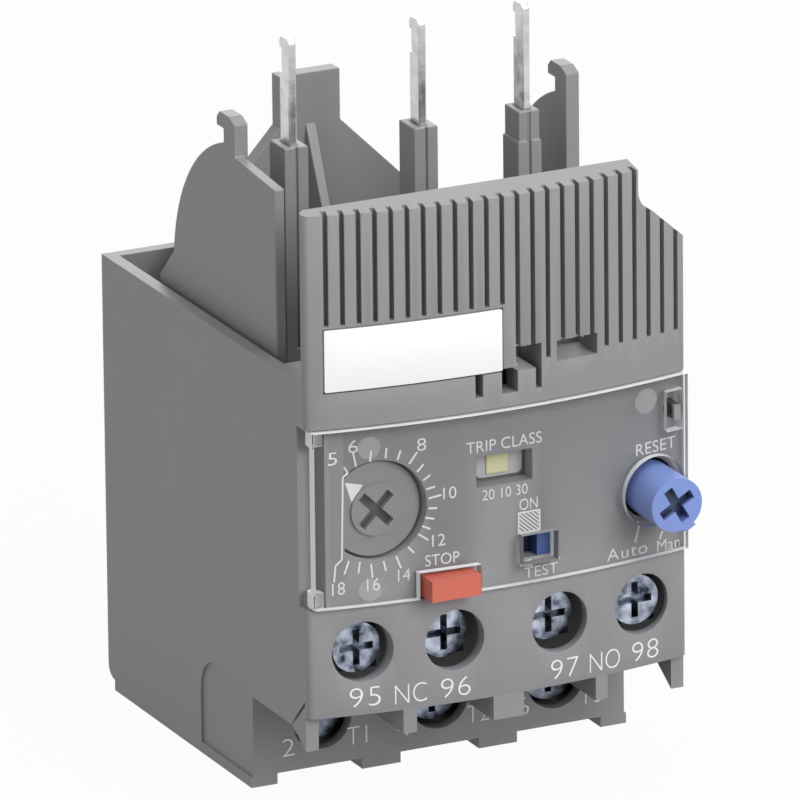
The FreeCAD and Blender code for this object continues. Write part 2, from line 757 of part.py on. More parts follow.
# Four terminal chambers under a roof, parted by walls, each with its screw well
def makeTerminalBlock(body):
    roofBottom = "auxTop - auxRoofThick"
    prism(body, "roof", "XY", roofBottom, "auxTop",
          rect("-carrierHalf", "carrierHalf", "partY", "front + auxDepth"))
    dividers = {"leftDivider": ("-dividerX", "dividerThick"),
                "centreDivider": ("0", "centreDividerThick"),
                "rightDivider": ("dividerX", "dividerThick")}
    for name, (x, thick) in dividers.items():
        left, right = "(%s) - (%s) / 2" % (x, thick), "(%s) + (%s) / 2" % (x, thick)
        plan = [(left, bowAt(left)), (right, bowAt(right)),
                (right, "front + auxDepth"), (left, "front + auxDepth")]
        prism(body, name, "XY", "dividerBottom", "auxTop", plan)
    for wire, x in auxX.items():
        wallBack = "(%s) + auxFrontWall" % bowAt(x)
        prism(body, "terminal" + wire, "XY", "auxBottom", roofBottom,
              around(x, "((%s) + partY) / 2" % wallBack, "auxCell", "partY - (%s)" % wallBack), cut=True)
    wells = [(x, "auxScrewHeight", "auxWellRadius") for x in auxX.values()]
    prism(body, "wells", "XZ", "front - bow", "partY", *wells, cut=True)
    armSlots = [around(x, "(auxPlateFront + auxPlateBack) / 2",
                       "auxArmWidth + 2 * fitGap", "auxPlateThick + 2 * fitGap") for x in auxX.values()]
    prism(body, "armSlots", "XY", roofBottom, "auxTop", *armSlots, cut=True)


# Sunk dial panel under the cover, with its hinge, openings and sealing tab
def cutPanel(body, past):
    recess = bowBand("-(%s)" % past, past, "-bow", "panelSet")
    prism(body, "coverRecess", "XY", "coverBottom", "coverTop", recess, cut=True)
    prism(body, "hingeGroove", "XY", "coverBottom", "coverTop",
          rect("-halfWidth", "-halfWidth + hingeGrooveWidth",
               "front - bow", "front + hingeGrooveDepth"), cut=True)
    pinHole = ("-hingeX", "hingeY", "hingePinRadius + hingeRunGap")
    depth = "hingePinLength + coverGap"
    prism(body, "lowerHinge", "XY", "coverBottom - (%s)" % depth, "coverBottom", pinHole, cut=True)
    prism(body, "upperHinge", "XY", "coverTop", "coverTop + (%s)" % depth, pinHole, cut=True)
    holes = {"dialHole": ("dialX", "dialZ", "dialRadius + dialHoleGap"),
             "resetHole": ("resetX", "resetZ", "resetHoleRadius"),
             "classWindow": around("classX", "classZ", "classWindowWidth", "classWindowHeight"),
             "testWindow": rect("testLeft", "testRight", "testBottom", "testTop"),
             "stopHole": rect("stopLeft - stopHoleGap", "stopRight + stopHoleGap",
                              "stopBottom - stopHoleGap", "stopTop + stopHoleGap")}
    for name, loop in holes.items():
        prism(body, name, "XZ", "front - bow", "partY", loop, cut=True)
    sealX, sealZ = "(sealLeft + sealRight) / 2", "(sealBottom + sealTop) / 2"
    sealY = bowAt("sealRight", "panelSet")
    prism(body, "sealTab", "XY", sealZ + " - sealTabThick", sealZ + " + sealTabThick",
          rect(sealX + " - sealTabThick / 2", sealX + " + sealTabThick / 2",
               sealY + " - sealTabReach", sealY + " + panelThick / 2"))
    prism(body, "sealEye", "YZ", "sealLeft", "sealRight",
          (sealY + " - (sealTabReach + sealEyeRadius) / 2", sealZ, "sealEyeRadius / 2"), cut=True)


# Label seat and the stepped cut-outs of the latch beside it
def cutLatch(body):
    prism(body, "labelSeat", "XY", "labelBottom - fitGap", "labelTop + fitGap",
          bowBand("-labelLeft - fitGap", "-labelRight + fitGap",
                  "-bow", "labelThick - labelProud + fitGap"), cut=True)
    nose = "front - bow"
    slots = [rect("latchSlotX - latchSlotWidth / 2", "latchSlotX + latchSlotWidth / 2",
                  "latchSlotBottom", "latchSlotTop"),
             rect("latchGapLeft", "latchGapRight", "latchSlotBottom", "latchSlotTop"),
             rect("latchEdgeLeft", "latchEdgeRight", "latchSlotBottom", "latchSlotTop")]
    prism(body, "latchSlots", "XZ", nose, "partY", *slots, cut=True)
    prism(body, "latchNook", "XZ", nose, "partY",
          rect("latchGapRight", "latchEdgeRight", "latchTabTop", "latchNookTop"), cut=True)
    prism(body, "latchWindow", "XZ", nose, "partY",
          rect("latchWindowLeft", "latchWindowRight", "latchWindowBottom", "latchWindowTop"), cut=True)


# One groove from the top edge down to its foot, then a row of them along the bow
def cutGrooves(body, name, firstX, foot):
    before = volume(body)
    turn = "(%s) / bowRadius * 180 / pi" % firstX
    sketch = newSketch(body, name + "Sketch", "XY", "panelTop", ("0", "bowCentre"), turn)
    draw(sketch, [rect("-grooveWidth / 2", "grooveWidth / 2",
                       "-(bowRadius + bow)", "-(bowRadius - grooveDepth)")])
    groove = body.newObject("PartDesign::Pocket", name + "First")
    groove.Profile = sketch
    groove.setExpression("Length", ref("panelTop - (%s)" % foot))
    settle(body, groove, before, True)
    row = body.newObject("PartDesign::PolarPattern", name)
    row.Originals = [groove]
    row.Axis = (sketch, ["N_Axis"])
    row.setExpression("Angle", ref("groovePitch * (grooveCount - 1) / bowRadius * 180 / pi * 1 deg"))
    row.setExpression("Occurrences", ref("grooveCount"))
    body.Tip = row
    doc.recompute()


# Clear cover: bowed plate on two hinge pins, with windows for what is worked through it
def makeClearCover():
    body = newBody("clear_cover")
    low, high = "coverBottom + coverGap", "coverTop - coverGap"
    prism(body, "plate", "XY", low, high,
          bowBand("-coverLeft", "coverRight", "-coverProud", "coverThick - coverProud"))
    lugLeft, lugRight = "-hingeX - hingeLugRadius", "-hingeX + hingeLugRadius"
    lugFront = bowAt("hingeX", "-coverProud / 2")
    lug = [(lugLeft, lugFront), (lugRight, lugFront), (lugRight, "hingeY", "hingeLugRadius", -1),
           (lugLeft, "hingeY")]
    prism(body, "lowerLug", "XY", low, low + " + hingeLugHeight", lug)
    prism(body, "upperLug", "XY", high + " - hingeLugHeight", high, lug)
    pin = ("-hingeX", "hingeY", "hingePinRadius")
    prism(body, "lowerPin", "XY", low + " - hingePinLength", low, pin)
    prism(body, "upperPin", "XY", high, high + " + hingePinLength", pin)
    ahead = "front - bow - coverProud"
    prism(body, "windows", "XZ", ahead, "partY",
          ("resetX", "resetZ", "resetCoverRadius"),
          rect("testLeft - coverGap", "testRight + coverGap", "testBottom - coverGap", "testTop + coverGap"),
          rect("sealLeft", "sealRight", "sealBottom", "sealTop"), cut=True)
    prism(body, "stopNotch", "XZ", ahead, "partY",
          rect("stopLeft - 2 * stopHoleGap", "stopRight + stopSwingGap",
               low, "stopTop + 2 * stopHoleGap"), cut=True)
    return body


def makeMarkerPlate():
    body = newBody("marker_plate")
    prism(body, "plate", "XY", "labelBottom", "labelTop",
          bowBand("-labelLeft", "-labelRight", "-labelProud", "labelThick - labelProud"))
    return body


# Setting dial and the trimmer that its stem turns
def makeDial():
    body = newBody("setting_dial")
    face = "front + dialFront"
    back, hub, end = face + " + dialThick", face + " - dialHubHeight", "front + dialStemEnd"
    turned(body, "disc", "Y", ("0", "0"),
           [("0", hub), ("dialHubRadius", hub), ("dialHubRadius", face), ("dialRadius", face),
            ("dialRadius", back), ("dialStemRadius", back), ("dialStemRadius", end), ("0", end)])
    prism(body, "driverSlot", "XZ", hub, hub + " + dialSlotDepth",
          crossLoop("0", "0", "dialSlotWidth", "2 * dialHubRadius - dialSlotWidth"), cut=True)
    return setTurned(body, "dialX", "dialZ", "dialRest")


def makeTrimmer():
    body = newBody("trimmer")
    prism(body, "case", "XZ", "front + trimmerFront", "boardY",
          around("dialX", "dialZ", "trimmerSide", "trimmerSide"))
    prism(body, "rotorHole", "XZ", "front + trimmerFront", "boardY - boardThick",
          ("dialX", "dialZ", "dialStemRadius + runGap"), cut=True)
    return body


# Trip class switch: fixed case behind the window, and its three-position knob
def makeClassSwitch():
    body = newBody("class_switch")
    prism(body, "case", "XZ", "classFace", "boardY",
          around("classX", "classZ", "classBodyWidth", "classBodyHeight"))
    prism(body, "slot", "XZ", "classFace", "classFace + classKnobBack + runGap",
          around("classX", "classZ", "classKnobWidth + 2 * (classTravel + runGap)",
                 "classKnobHeight + 2 * runGap"), cut=True)
    return body


def makeClassSlider():
    body = newBody("class_slider")
    prism(body, "knob", "XZ", "classFace - classKnobProud", "classFace + classKnobBack",
          around("classX", "classZ", "classKnobWidth", "classKnobHeight"))
    return body


# Test slide: plate behind the panel, finger in the window, fork that drives the rocker
def makeTestSlide():
    body = newBody("test_slide")
    face, back = "testPlateY", "testPlateY + testPlateThick"
    prism(body, "plate", "XZ", face, back,
          rect("testPlateLeft", "testPlateRight",
               "testBottom - testPlateMargin", "testTop + testPlateMargin"))
    prism(body, "finger", "XZ", bowAt("testRight", "panelSet"), face,
          rect("testRight - testFingerWidth - runGap", "testRight - runGap",
               "testBottom + runGap", "testTop - runGap"))
    tineX = "(rockerNoseWidth / 2 + testForkGap + testForkThick / 2)"
    for side, name in (("-", "leftTine"), ("", "rightTine")):
        prism(body, name, "XZ", back, "noseY + testForkReach",
              around(side + tineX, "(rockerBottom + rockerTop) / 2",
                     "testForkThick", "rockerTop - rockerBottom"))
    return body


# Stop button with a blind bore for its spring
def makeStopButton():
    body = newBody("stop_button")
    back = "front + stopBack"
    prism(body, "button", "XZ", "front + stopFront", back,
          rect("stopLeft", "stopRight", "stopBottom", "stopTop"))
    prism(body, "springBore", "XZ", back + " - stopSpringBore", back,
          ("stopSpringX", "(stopBottom + stopTop) / 2", "stopBore"), cut=True)
    return body


# Reset button: round knob, keyed stem, pointer nub and a blind bore for its spring
def makeResetButton():
    body = newBody("reset_button")
    face, shoulder, end = "front - resetReach", "front + resetShoulder", "front + resetStemEnd"
    nubBack = bowAt("resetX - resetRadius", "panelSet") + " - resetTravel - fitGap"
    turned(body, "knob", "Y", ("0", "0"),
           [("0", face), ("resetRadius", face), ("resetRadius", shoulder),
            ("resetStemRadius", shoulder), ("resetStemRadius", end), ("0", end)])
    prism(body, "nub", "XZ", face, nubBack,
          rect("-resetNubWidth / 2", "resetNubWidth / 2", "-resetRadius - resetNubOut", "-resetRadius / 2"))
    prism(body, "key", "XZ", shoulder, end,
          rect("-resetKeyWidth / 2", "resetKeyWidth / 2",
               "resetStemRadius / 2", "resetStemRadius + resetKeyOut"))
    prism(body, "driverSlot", "XZ", face, face + " + resetSlotDepth",
          crossLoop("0", "0", "resetSlotWidth", "resetSlotLength"), cut=True)
    prism(body, "springBore", "XZ", end + " - resetBoreDepth", end, ("0", "0", "resetBore"), cut=True)
    return setTurned(body, "resetX", "resetZ", "-selectorTurn / 2")


def makeSelectorRing():
    body = newBody("selector_ring")
    ringBack = "front + ringFront + ringThick"
    prism(body, "ring", "XZ", "front + ringFront", ringBack,
          ("0", "0", "ringRadius"), ("0", "0", "resetStemRadius + runGap"))
    prism(body, "keyway", "XZ", "front + ringFront", ringBack,
          rect("-resetKeyWidth / 2 - runGap", "resetKeyWidth / 2 + runGap",
               "0", "resetStemRadius + resetKeyOut + runGap"), cut=True)
    return setTurned(body, "resetX", "resetZ", "-selectorTurn / 2")


# A piece drawn on its own axis along Y is set at (x, z), turned to its rest position
def setTurned(body, x, z, turn):
    body.Placement = FreeCAD.Placement(Vector(), FreeCAD.Rotation(Vector(0, 1, 0), 1))
    body.setExpression("Placement.Base.x", ref(x))
    body.setExpression("Placement.Base.z", ref(z))
    body.setExpression("Placement.Rotation.Angle", ref("(%s) * 1 deg" % turn))
    doc.recompute()
    return body


# Flat wave spring between two seats, along Y or X: a folded strip of straight legs
def makeSpring(label, axis, centre, level, start, end):
    body = newBody(label)
    legs = int(sizes["springLegs"])
    pitch = "((%s) - (%s)) / springLegs" % (end, start)
    edge = []
    for step in range(legs + 1):
        side = "+" if step % 2 else "-"
        across = "(%s) %s springReach - springStrip / 2" % (centre, side)
        edge.append((across, "(%s) + %d * (%s)" % (start, step, pitch)))
    points = edge + [(across + " + springStrip", along) for across, along in reversed(edge)]
    if axis == "X":
        points = [(along, across) for across, along in points]
    prism(body, "strip", "XY", "(%s) - springHeight / 2" % level, "(%s) + springHeight / 2" % level, points)
    return body


# Inner frame: partition with the tray for the transformers, and lugs, posts and seats
def makeInnerFrame():
    body = newBody("inner_frame")
    prism(body, "wallPlate", "XZ", "frameY", "frameBack",
          rect("-carrierHalf", "carrierHalf", "frameBottom", "frameTop"))
    prism(body, "tray", "XY", "trayBottom", "trayTop",
          rect("-carrierHalf", "carrierHalf", "frameBack", "front + trayBack"))
    slots = [around(x, "pinY", "pinThick + 2 * trayGap", "barWidth + 2 * trayGap") for x in pinX.values()]
    prism(body, "barSlots", "XY", "trayBottom", "trayTop", *slots, cut=True)
    prism(body, "plungerHole", "XZ", "frameY", "frameBack",
          ("coilX", "coilZ", "plungerRadius + trayGap"), cut=True)
    lug = [("-pivotLug", "frameY"), ("pivotLug", "frameY"), ("pivotLug", "pivotY", "pivotLug", 1),
           ("-pivotLug", "pivotY")]
    lugs = {"lowerLug": "rockerBottom - pivotLugGap - pivotLugThick", "upperLug": "rockerTop + pivotLugGap"}
    for name, low in lugs.items():
        prism(body, name, "XY", low, low + " + pivotLugThick", lug)
        prism(body, name + "Hole", "XY", low, low + " + pivotLugThick",
              ("0", "pivotY", "pivotRadius"), cut=True)
    side = "2 * standoffHalf"
    posts = [around("boardLeft + " + side, "boardTop - " + side, side, side),
             around("boardRight - " + side, "boardTop - " + side, side, side),
             around("boardLeft + " + side, "boardBottom + " + side, side, side)]
    prism(body, "standoffs", "XZ", "boardBack", "frameY", *posts)
    prism(body, "resetSeat", "XZ", "front + resetSeatFront", "frameY",
          around("resetX", "resetZ", "resetSeatSide", "resetSeatSide"))
    return body


def makeBoard():
    body = newBody("circuit_board")
    prism(body, "board", "XZ", "boardY", "boardBack",
          rect("boardLeft", "boardRight", "boardBottom", "boardTop"))
    chip = newBody("controller_chip")
    prism(chip, "package", "XZ", "boardBack", "boardBack + chipThick",
          around("chipX", "chipZ", "chipSide", "chipSide"))
    store = newBody("storage_capacitor")
    prism(store, "can", "XZ", "boardY - capLength", "boardY", ("capX", "capZ", "capRadius"))
    return [body, chip, store]


# One pole: blade pin and busbar in one strip, terminal plate, transformer, clamp and screw
def makeConductor(pole):
    body = newBody("conductor_" + pole)
    pin, screw = pinX[pole], poleX[pole]
    barFront, barBack = "pinY - barWidth / 2", "pinY + barWidth / 2"
    edgeFront, edgeBack = "pinY - pinWidth / 2", "pinY + pinWidth / 2"
    notch, notchTop = edgeBack + " - pinNotchDepth", "pinTop - pinHeadHeight"
    notchFoot, shoulder = notchTop + " - pinNotchLength", "pinTop - pinThick / 2"
    blade = [(barFront, "barBottom"), (barBack, "barBottom"), (barBack, "barTop"), (edgeBack, "barTop"),
             (edgeBack, notchFoot), (notch, notchFoot), (notch, notchTop), (edgeBack, notchTop),
             (edgeBack, shoulder), (edgeBack + " - pinThick / 2", "pinTop"),
             (edgeFront + " + pinThick / 2", "pinTop"), (edgeFront, shoulder), (edgeFront, "barTop"),
             (barFront, "barTop")]
    prism(body, "blade", "YZ", "(%s) - pinThick / 2" % pin, "(%s) + pinThick / 2" % pin, blade)
    plateBack = "mainPlateFront + mainPlateThick"
    prism(body, "plate", "XZ", "mainPlateFront", plateBack,
          rect("(%s) - mainPlateWidth / 2" % screw, "(%s) + mainPlateWidth / 2" % screw,
               "mainScrewHeight - mainClampHeight / 2", "mainPlateTop"))
    prism(body, "screwHole", "XZ", "mainPlateFront", plateBack,
          (screw, "mainScrewHeight", "mainShankRadius + runGap"), cut=True)
    return body


def makeTransformer(pole):
    def ring(outerHalf, innerHalf):
        return [around(pinX[pole], "pinY", "2 * (%s)" % half, "2 * (%s)" % half)
                for half in (outerHalf, innerHalf)]

    ceiling = "trayTop + ctHeight - ctWall"
    rim, bore = "ctOuterHalf - ctWall", "ctInnerHalf + ctWall"
    winding = newBody("ct_winding_" + pole)
    prism(winding, "turns", "XY", "trayTop", "trayTop + ctHeight", *ring("ctOuterHalf", "ctInnerHalf"))
    prism(winding, "coreRoom", "XY", "trayTop", ceiling, *ring(rim, bore), cut=True)
    core = newBody("ct_core_" + pole)
    prism(core, "frame", "XY", "trayTop", ceiling + " - runGap",
          *ring(rim + " - runGap", bore + " + runGap"))
    return [core, winding]


# Terminal screw along Y with a cross recess, and its square pressure plate
def makeScrew(label, x, z, face, headRadius, headThick, shankRadius, shankLength):
    body = newBody(label)
    seat, tip = "%s + %s" % (face, headThick), "%s + %s + %s" % (face, headThick, shankLength)
    turned(body, "screw", "Y", (x, z), [("0", face), (headRadius, face), (headRadius, seat),
                                        (shankRadius, seat), (shankRadius, tip), ("0", tip)])
    prism(body, "recess", "XZ", face, face + " + recessDepth",
          crossLoop(x, z, "recessWidth", "2 * %s - 2 * recessWidth" % headRadius), cut=True)
    return body


def makeClamp(label, x, z, face, width, height, thick, shankRadius):
    body = newBody(label)
    back = "%s + %s" % (face, thick)
    prism(body, "plate", "XZ", face, back, around(x, z, width, height))
    prism(body, "screwHole", "XZ", face, back, (x, z, shankRadius + " + runGap"), cut=True)
    return body


def makeAuxTerminal(wire):
    body = newBody("aux_terminal_" + wire)
    x = auxX[wire]
    prism(body, "plate", "XZ", "auxPlateFront", "auxPlateBack",
          rect("(%s) - auxPlateWidth / 2" % x, "(%s) + auxPlateWidth / 2" % x,
               "auxPlateBottom", "auxPlateTop"))
    prism(body, "arm", "XZ", "auxPlateFront", "auxPlateBack",
          rect("(%s) - auxArmWidth / 2" % x, "(%s) + auxArmWidth / 2" % x,
               "auxScrewHeight + auxShankRadius * 2", "auxArmTop"))
    prism(body, "screwHole", "XZ", "auxPlateFront", "auxPlateBack",
          (x, "auxScrewHeight", "auxShankRadius + runGap"), cut=True)
    return body


# Contact rocker: straight left arm, right arm bent back by the trip angle, nose for the slide's fork
def makeRocker():
    body = newBody("trip_rocker")
    near, far = "pivotY - rockerThick / 2", "pivotY + rockerThick / 2"
    bend = " + rockerArm * tan(tripAngle * 1 rad)"
    arms = [("-rockerArm", near), ("0", near), ("rockerArm", near + bend),
            ("rockerArm", far + bend), ("0", far), ("-rockerArm", far)]
    prism(body, "arms", "XY", "rockerBottom", "rockerTop", arms)
    prism(body, "hub", "XY", "rockerBottom", "rockerTop", ("0", "pivotY", "rockerHub"))
    left, right = "-rockerNoseWidth / 2", "rockerNoseWidth / 2"
    prism(body, "nose", "XY", "rockerBottom", "rockerTop",
          [(left, "pivotY"), (left, "noseY", right, -1), (right, "noseY"), (right, "pivotY")])
    prism(body, "pivotHole", "XY", "rockerBottom", "rockerTop",
          ("0", "pivotY", "pivotRadius + runGap"), cut=True)
    return body


def makeBridges():
    mid = "(rockerBottom + rockerTop) / 2"
    reach = "auxOuterX - auxInnerX + 2 * bridgeOver"
    centre = "(auxOuterX + auxInnerX) / 2"
    closed = newBody("nc_bridge")
    prism(closed, "strip", "XZ", "bridgeFront", "bridgeFront + bridgeThick",
          around("-" + centre, mid, reach, "bridgeHeight"))
    parted = newBody("no_bridge")
    near = "bridgeFront - pivotY"
    prism(parted, "strip", "XZ", near, near + " + bridgeThick", around(centre, mid, reach, "bridgeHeight"))
    parted.Placement = FreeCAD.Placement(Vector(), FreeCAD.Rotation(Vector(0, 0, 1), 1))
    parted.setExpression("Placement.Base.y", ref("pivotY"))
    parted.setExpression("Placement.Rotation.Angle", ref("tripAngle * 180 / pi * 1 deg"))
    doc.recompute()
    pin = newBody("rocker_pin")
    reach = "pivotLugGap + pivotLugThick"
    prism(pin, "pin", "XY", "rockerBottom - (%s)" % reach, "rockerTop + " + reach,
          ("0", "pivotY", "pivotRadius"))
    return [closed, parted, pin]


# Trip magnet behind the frame: spool, winding, yoke, and the plunger that pushes the rocker
def makeTripMagnet():
    start = "frameBack + coilSet"
    end = start + " + coilLength"
    firstFlange, lastFlange = start + " + coilFlange", end + " - coilFlange"
    bore = "plungerRadius + runGap"
    tube = "2 * (%s + coilTube)" % bore
    flange = around("coilX", "coilZ", "2 * coilHalf", "2 * coilHalf")
    spool = newBody("trip_bobbin")
    prism(spool, "tube", "XZ", start, end, around("coilX", "coilZ", tube, tube))
    prism(spool, "nearFlange", "XZ", start, firstFlange, flange)
    prism(spool, "farFlange", "XZ", lastFlange, end, flange)
    prism(spool, "bore", "XZ", start, end, ("coilX", "coilZ", bore), cut=True)
    wire = newBody("trip_winding")
    turns, room = "2 * (coilHalf - coilWireGap)", tube + " + 2 * runGap"
    prism(wire, "turns", "XZ", firstFlange + " + runGap", lastFlange + " - runGap",
          around("coilX", "coilZ", turns, turns), around("coilX", "coilZ", room, room))
    yoke = newBody("trip_yoke")
    inner, outer = "(coilHalf + runGap)", "(coilHalf + runGap + yokeThick)"
    inside, outside = end + " + runGap", end + " + runGap + yokeThick"
    prism(yoke, "frame", "YZ", "coilX - yokeWidth / 2", "coilX + yokeWidth / 2",
          [(start, "coilZ - " + outer), (outside, "coilZ - " + outer),
           (outside, "coilZ + " + outer), (start, "coilZ + " + outer),
           (start, "coilZ + " + inner), (inside, "coilZ + " + inner),
           (inside, "coilZ - " + inner), (start, "coilZ - " + inner)])
    plunger = newBody("trip_plunger")
    slope = "tan(tripAngle * 1 rad)"
    armBack = "pivotY + coilX * %s + rockerThick / 2 / cos(tripAngle * 1 rad)" % slope
    tip = "%s + plungerGap + plungerRadius * %s" % (armBack, slope)
    prism(plunger, "rod", "XZ", tip, tip + " + plungerLength", ("coilX", "coilZ", "plungerRadius"))
    return [spool, wire, yoke, plunger]


nodes = [makeRearHousing(), makeTopCarrier(), makeFrontHousing(), makeClearCover(), makeMarkerPlate(),
         makeDial(), makeTrimmer(), makeClassSwitch(), makeClassSlider(), makeTestSlide(), makeStopButton(),
         makeResetButton(), makeSelectorRing(), makeInnerFrame(), makeRocker()]
nodes += makeBoard() + makeBridges() + makeTripMagnet()
nodes.append(makeSpring("stop_spring", "Y", "stopSpringX", "(stopBottom + stopTop) / 2",
                        "front + stopBack - stopSpringBore", "front + stopSeat"))
nodes.append(makeSpring("reset_spring", "Y", "resetX", "resetZ",
                        "front + resetStemEnd - resetBoreDepth", "front + resetSeatFront"))
nodes.append(makeSpring("test_spring", "X", "testSpringY", "(testBottom + testTop) / 2",
                        "testPlateLeft - testSpringLength", "testPlateLeft"))
for pole, x in poleX.items():
    nodes.append(makeConductor(pole))
    nodes += makeTransformer(pole)
    nodes.append(makeScrew("main_screw_" + pole, x, "mainScrewHeight", "mainHeadFront",
                           "mainHeadRadius", "mainHeadThick", "mainShankRadius", "mainShankLength"))
    nodes.append(makeClamp("main_clamp_" + pole, x, "mainScrewHeight", "mainClampFront",
                           "mainClampWidth", "mainClampHeight", "mainClampThick", "mainShankRadius"))
for wire, x in auxX.items():
    nodes.append(makeAuxTerminal(wire))
    nodes.append(makeScrew("aux_screw_" + wire, x, "auxScrewHeight", "auxHeadY",
                           "auxHeadRadius", "auxHeadThick", "auxShankRadius", "auxShankLength"))
    nodes.append(makeClamp("aux_clamp_" + wire, x, "auxScrewHeight", "auxClampFront",
                           "auxClampWidth", "auxClampHeight", "auxClampThick", "auxShankRadius"))

doc.recompute()
for item in doc.Objects:
    if "Invalid" in item.State or "Error" in item.State:
        raise RuntimeError("%s did not build" % item.Label)
for node in nodes:
    if node.Shape.isNull() or not node.Shape.isValid() or len(node.Shape.Solids) != 1:
        raise RuntimeError("%s is not one sound solid" % node.Label)

os.makedirs("parts", exist_ok=True)
for node in nodes:
    node.Shape.exportStep("parts/%s.step" % node.Label)
print("%d sub-parts written" % len(nodes))
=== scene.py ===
import json
import math

import bmesh
import bpy
from mathutils import Matrix, Vector


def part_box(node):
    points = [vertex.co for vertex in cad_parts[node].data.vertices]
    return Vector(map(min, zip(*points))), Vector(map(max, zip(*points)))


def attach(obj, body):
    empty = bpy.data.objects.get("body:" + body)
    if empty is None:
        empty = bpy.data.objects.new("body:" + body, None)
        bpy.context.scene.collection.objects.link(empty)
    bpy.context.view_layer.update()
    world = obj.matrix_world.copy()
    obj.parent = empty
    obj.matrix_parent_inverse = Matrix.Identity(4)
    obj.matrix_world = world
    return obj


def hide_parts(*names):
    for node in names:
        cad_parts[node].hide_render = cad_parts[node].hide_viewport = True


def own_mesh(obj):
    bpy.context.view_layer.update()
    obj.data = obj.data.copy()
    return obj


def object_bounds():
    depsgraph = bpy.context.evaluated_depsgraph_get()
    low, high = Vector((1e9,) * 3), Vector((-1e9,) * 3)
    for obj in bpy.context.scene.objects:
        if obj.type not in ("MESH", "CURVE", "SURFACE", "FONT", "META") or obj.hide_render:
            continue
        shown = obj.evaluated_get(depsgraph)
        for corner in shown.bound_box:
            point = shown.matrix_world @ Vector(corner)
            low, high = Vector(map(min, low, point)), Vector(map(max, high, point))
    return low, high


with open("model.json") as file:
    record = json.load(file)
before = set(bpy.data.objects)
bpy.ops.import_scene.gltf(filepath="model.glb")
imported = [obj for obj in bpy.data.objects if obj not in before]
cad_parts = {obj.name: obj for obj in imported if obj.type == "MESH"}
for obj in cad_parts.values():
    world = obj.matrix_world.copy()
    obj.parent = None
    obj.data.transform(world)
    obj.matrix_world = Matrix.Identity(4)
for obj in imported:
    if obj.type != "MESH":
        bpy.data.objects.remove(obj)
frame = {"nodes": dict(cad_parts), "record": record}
cadLow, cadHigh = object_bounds()
nodes = frame["nodes"]
mm = 0.001
mergeGap = 0.0005 * mm  # corners of CAD triangles that lie closer than this are one
print("frame loaded:", len(nodes), "nodes")

# the front is a bow between its two upright edges
bowShape = {
    "rise": 2.4 * mm,
    "panelInset": 1.0 * mm,  # the settings panel lies this far behind the bow
    "coverOuter": -0.7 * mm,  # the cover's outer face lies ahead of it
}
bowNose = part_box("front_housing")[0].y
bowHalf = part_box("front_housing")[1].x
bowRadius = (bowHalf ** 2 + bowShape["rise"] ** 2) / (2 * bowShape["rise"])
baseFront = -7.7 * mm  # front of the base, below the bow


def bowY(x, inset):
    return bowNose + bowRadius - math.sqrt((bowRadius - inset) ** 2 - x ** 2)


def panelY(x):
    return bowY(x, bowShape["panelInset"])


# camera: where the photograph was taken from
shot = {
    "turn": 25.55,  # degrees to the left of straight ahead
    "height": 19.07,  # degrees above level
    "roll": 0.62,  # degrees the picture leans to the left
    "distance": 1.613,
    "lookAt": (0.0, 0.0026, 0.025),  # this point lands on lookPixel
    "lookPixel": (396.2, 509.1),
    "pixelsPerMetre": 9246.0,
    "picture": 800.0,
    "sensor": 36.0,
    "clip": (0.05, 50.0),
}


def makeCamera(s):
    turn, height, roll = (math.radians(s[k]) for k in ("turn", "height", "roll"))
    ahead = Vector((math.sin(turn) * math.cos(height), math.cos(turn) * math.cos(height),
                    -math.sin(height)))
    side = Vector((math.cos(turn), -math.sin(turn), 0.0))
    upright = side.cross(ahead)
    right = side * math.cos(roll) - upright * math.sin(roll)
    up = upright * math.cos(roll) + side * math.sin(roll)
    spot = Vector(s["lookAt"])
    place = spot - ahead * s["distance"]
    dx = (s["picture"] / 2 - s["lookPixel"][0]) / s["pixelsPerMetre"]
    dy = (s["lookPixel"][1] - s["picture"] / 2) / s["pixelsPerMetre"]
    aim = (spot + right * dx + up * dy - place).normalized()
    right = (right - aim * right.dot(aim)).normalized()
    up = right.cross(aim)
    data = bpy.data.cameras.new("photoCamera")
    data.sensor_width = s["sensor"]
    data.lens = s["distance"] * s["pixelsPerMetre"] * s["sensor"] / s["picture"]
    data.clip_start, data.clip_end = s["clip"]
    camera = bpy.data.objects.new("photoCamera", data)
    turned = Matrix((right, up, -aim)).transposed().to_4x4()
    camera.matrix_world = Matrix.Translation(place) @ turned
    bpy.context.scene.collection.objects.link(camera)
    bpy.context.scene.camera = camera


makeCamera(shot)
print("camera placed")


# each input of a shader node takes a value or another node's output
def feed(node, inputs):
    for key, value in inputs.items():
        if isinstance(value, bpy.types.NodeSocket):
            node.id_data.links.new(value, node.inputs[key])
        else:
            node.inputs[key].default_value = value
    return node


def addNode(tree, kind, inputs, **settings):
    node = tree.nodes.new("ShaderNode" + kind)
    for name, value in settings.items():
        setattr(node, name, value)
    return feed(node, inputs)


def mathNode(tree, operation, *inputs):
    return addNode(tree, "Math", dict(enumerate(inputs)), operation=operation).outputs["Value"]


def vectorNode(tree, operation, *inputs):
    return addNode(tree, "VectorMath", dict(enumerate(inputs)), operation=operation).outputs


def newMaterial(name):
    material = bpy.data.materials.new(name)
    material.use_nodes = True
    return material, material.node_tree, material.node_tree.nodes["Principled BSDF"]


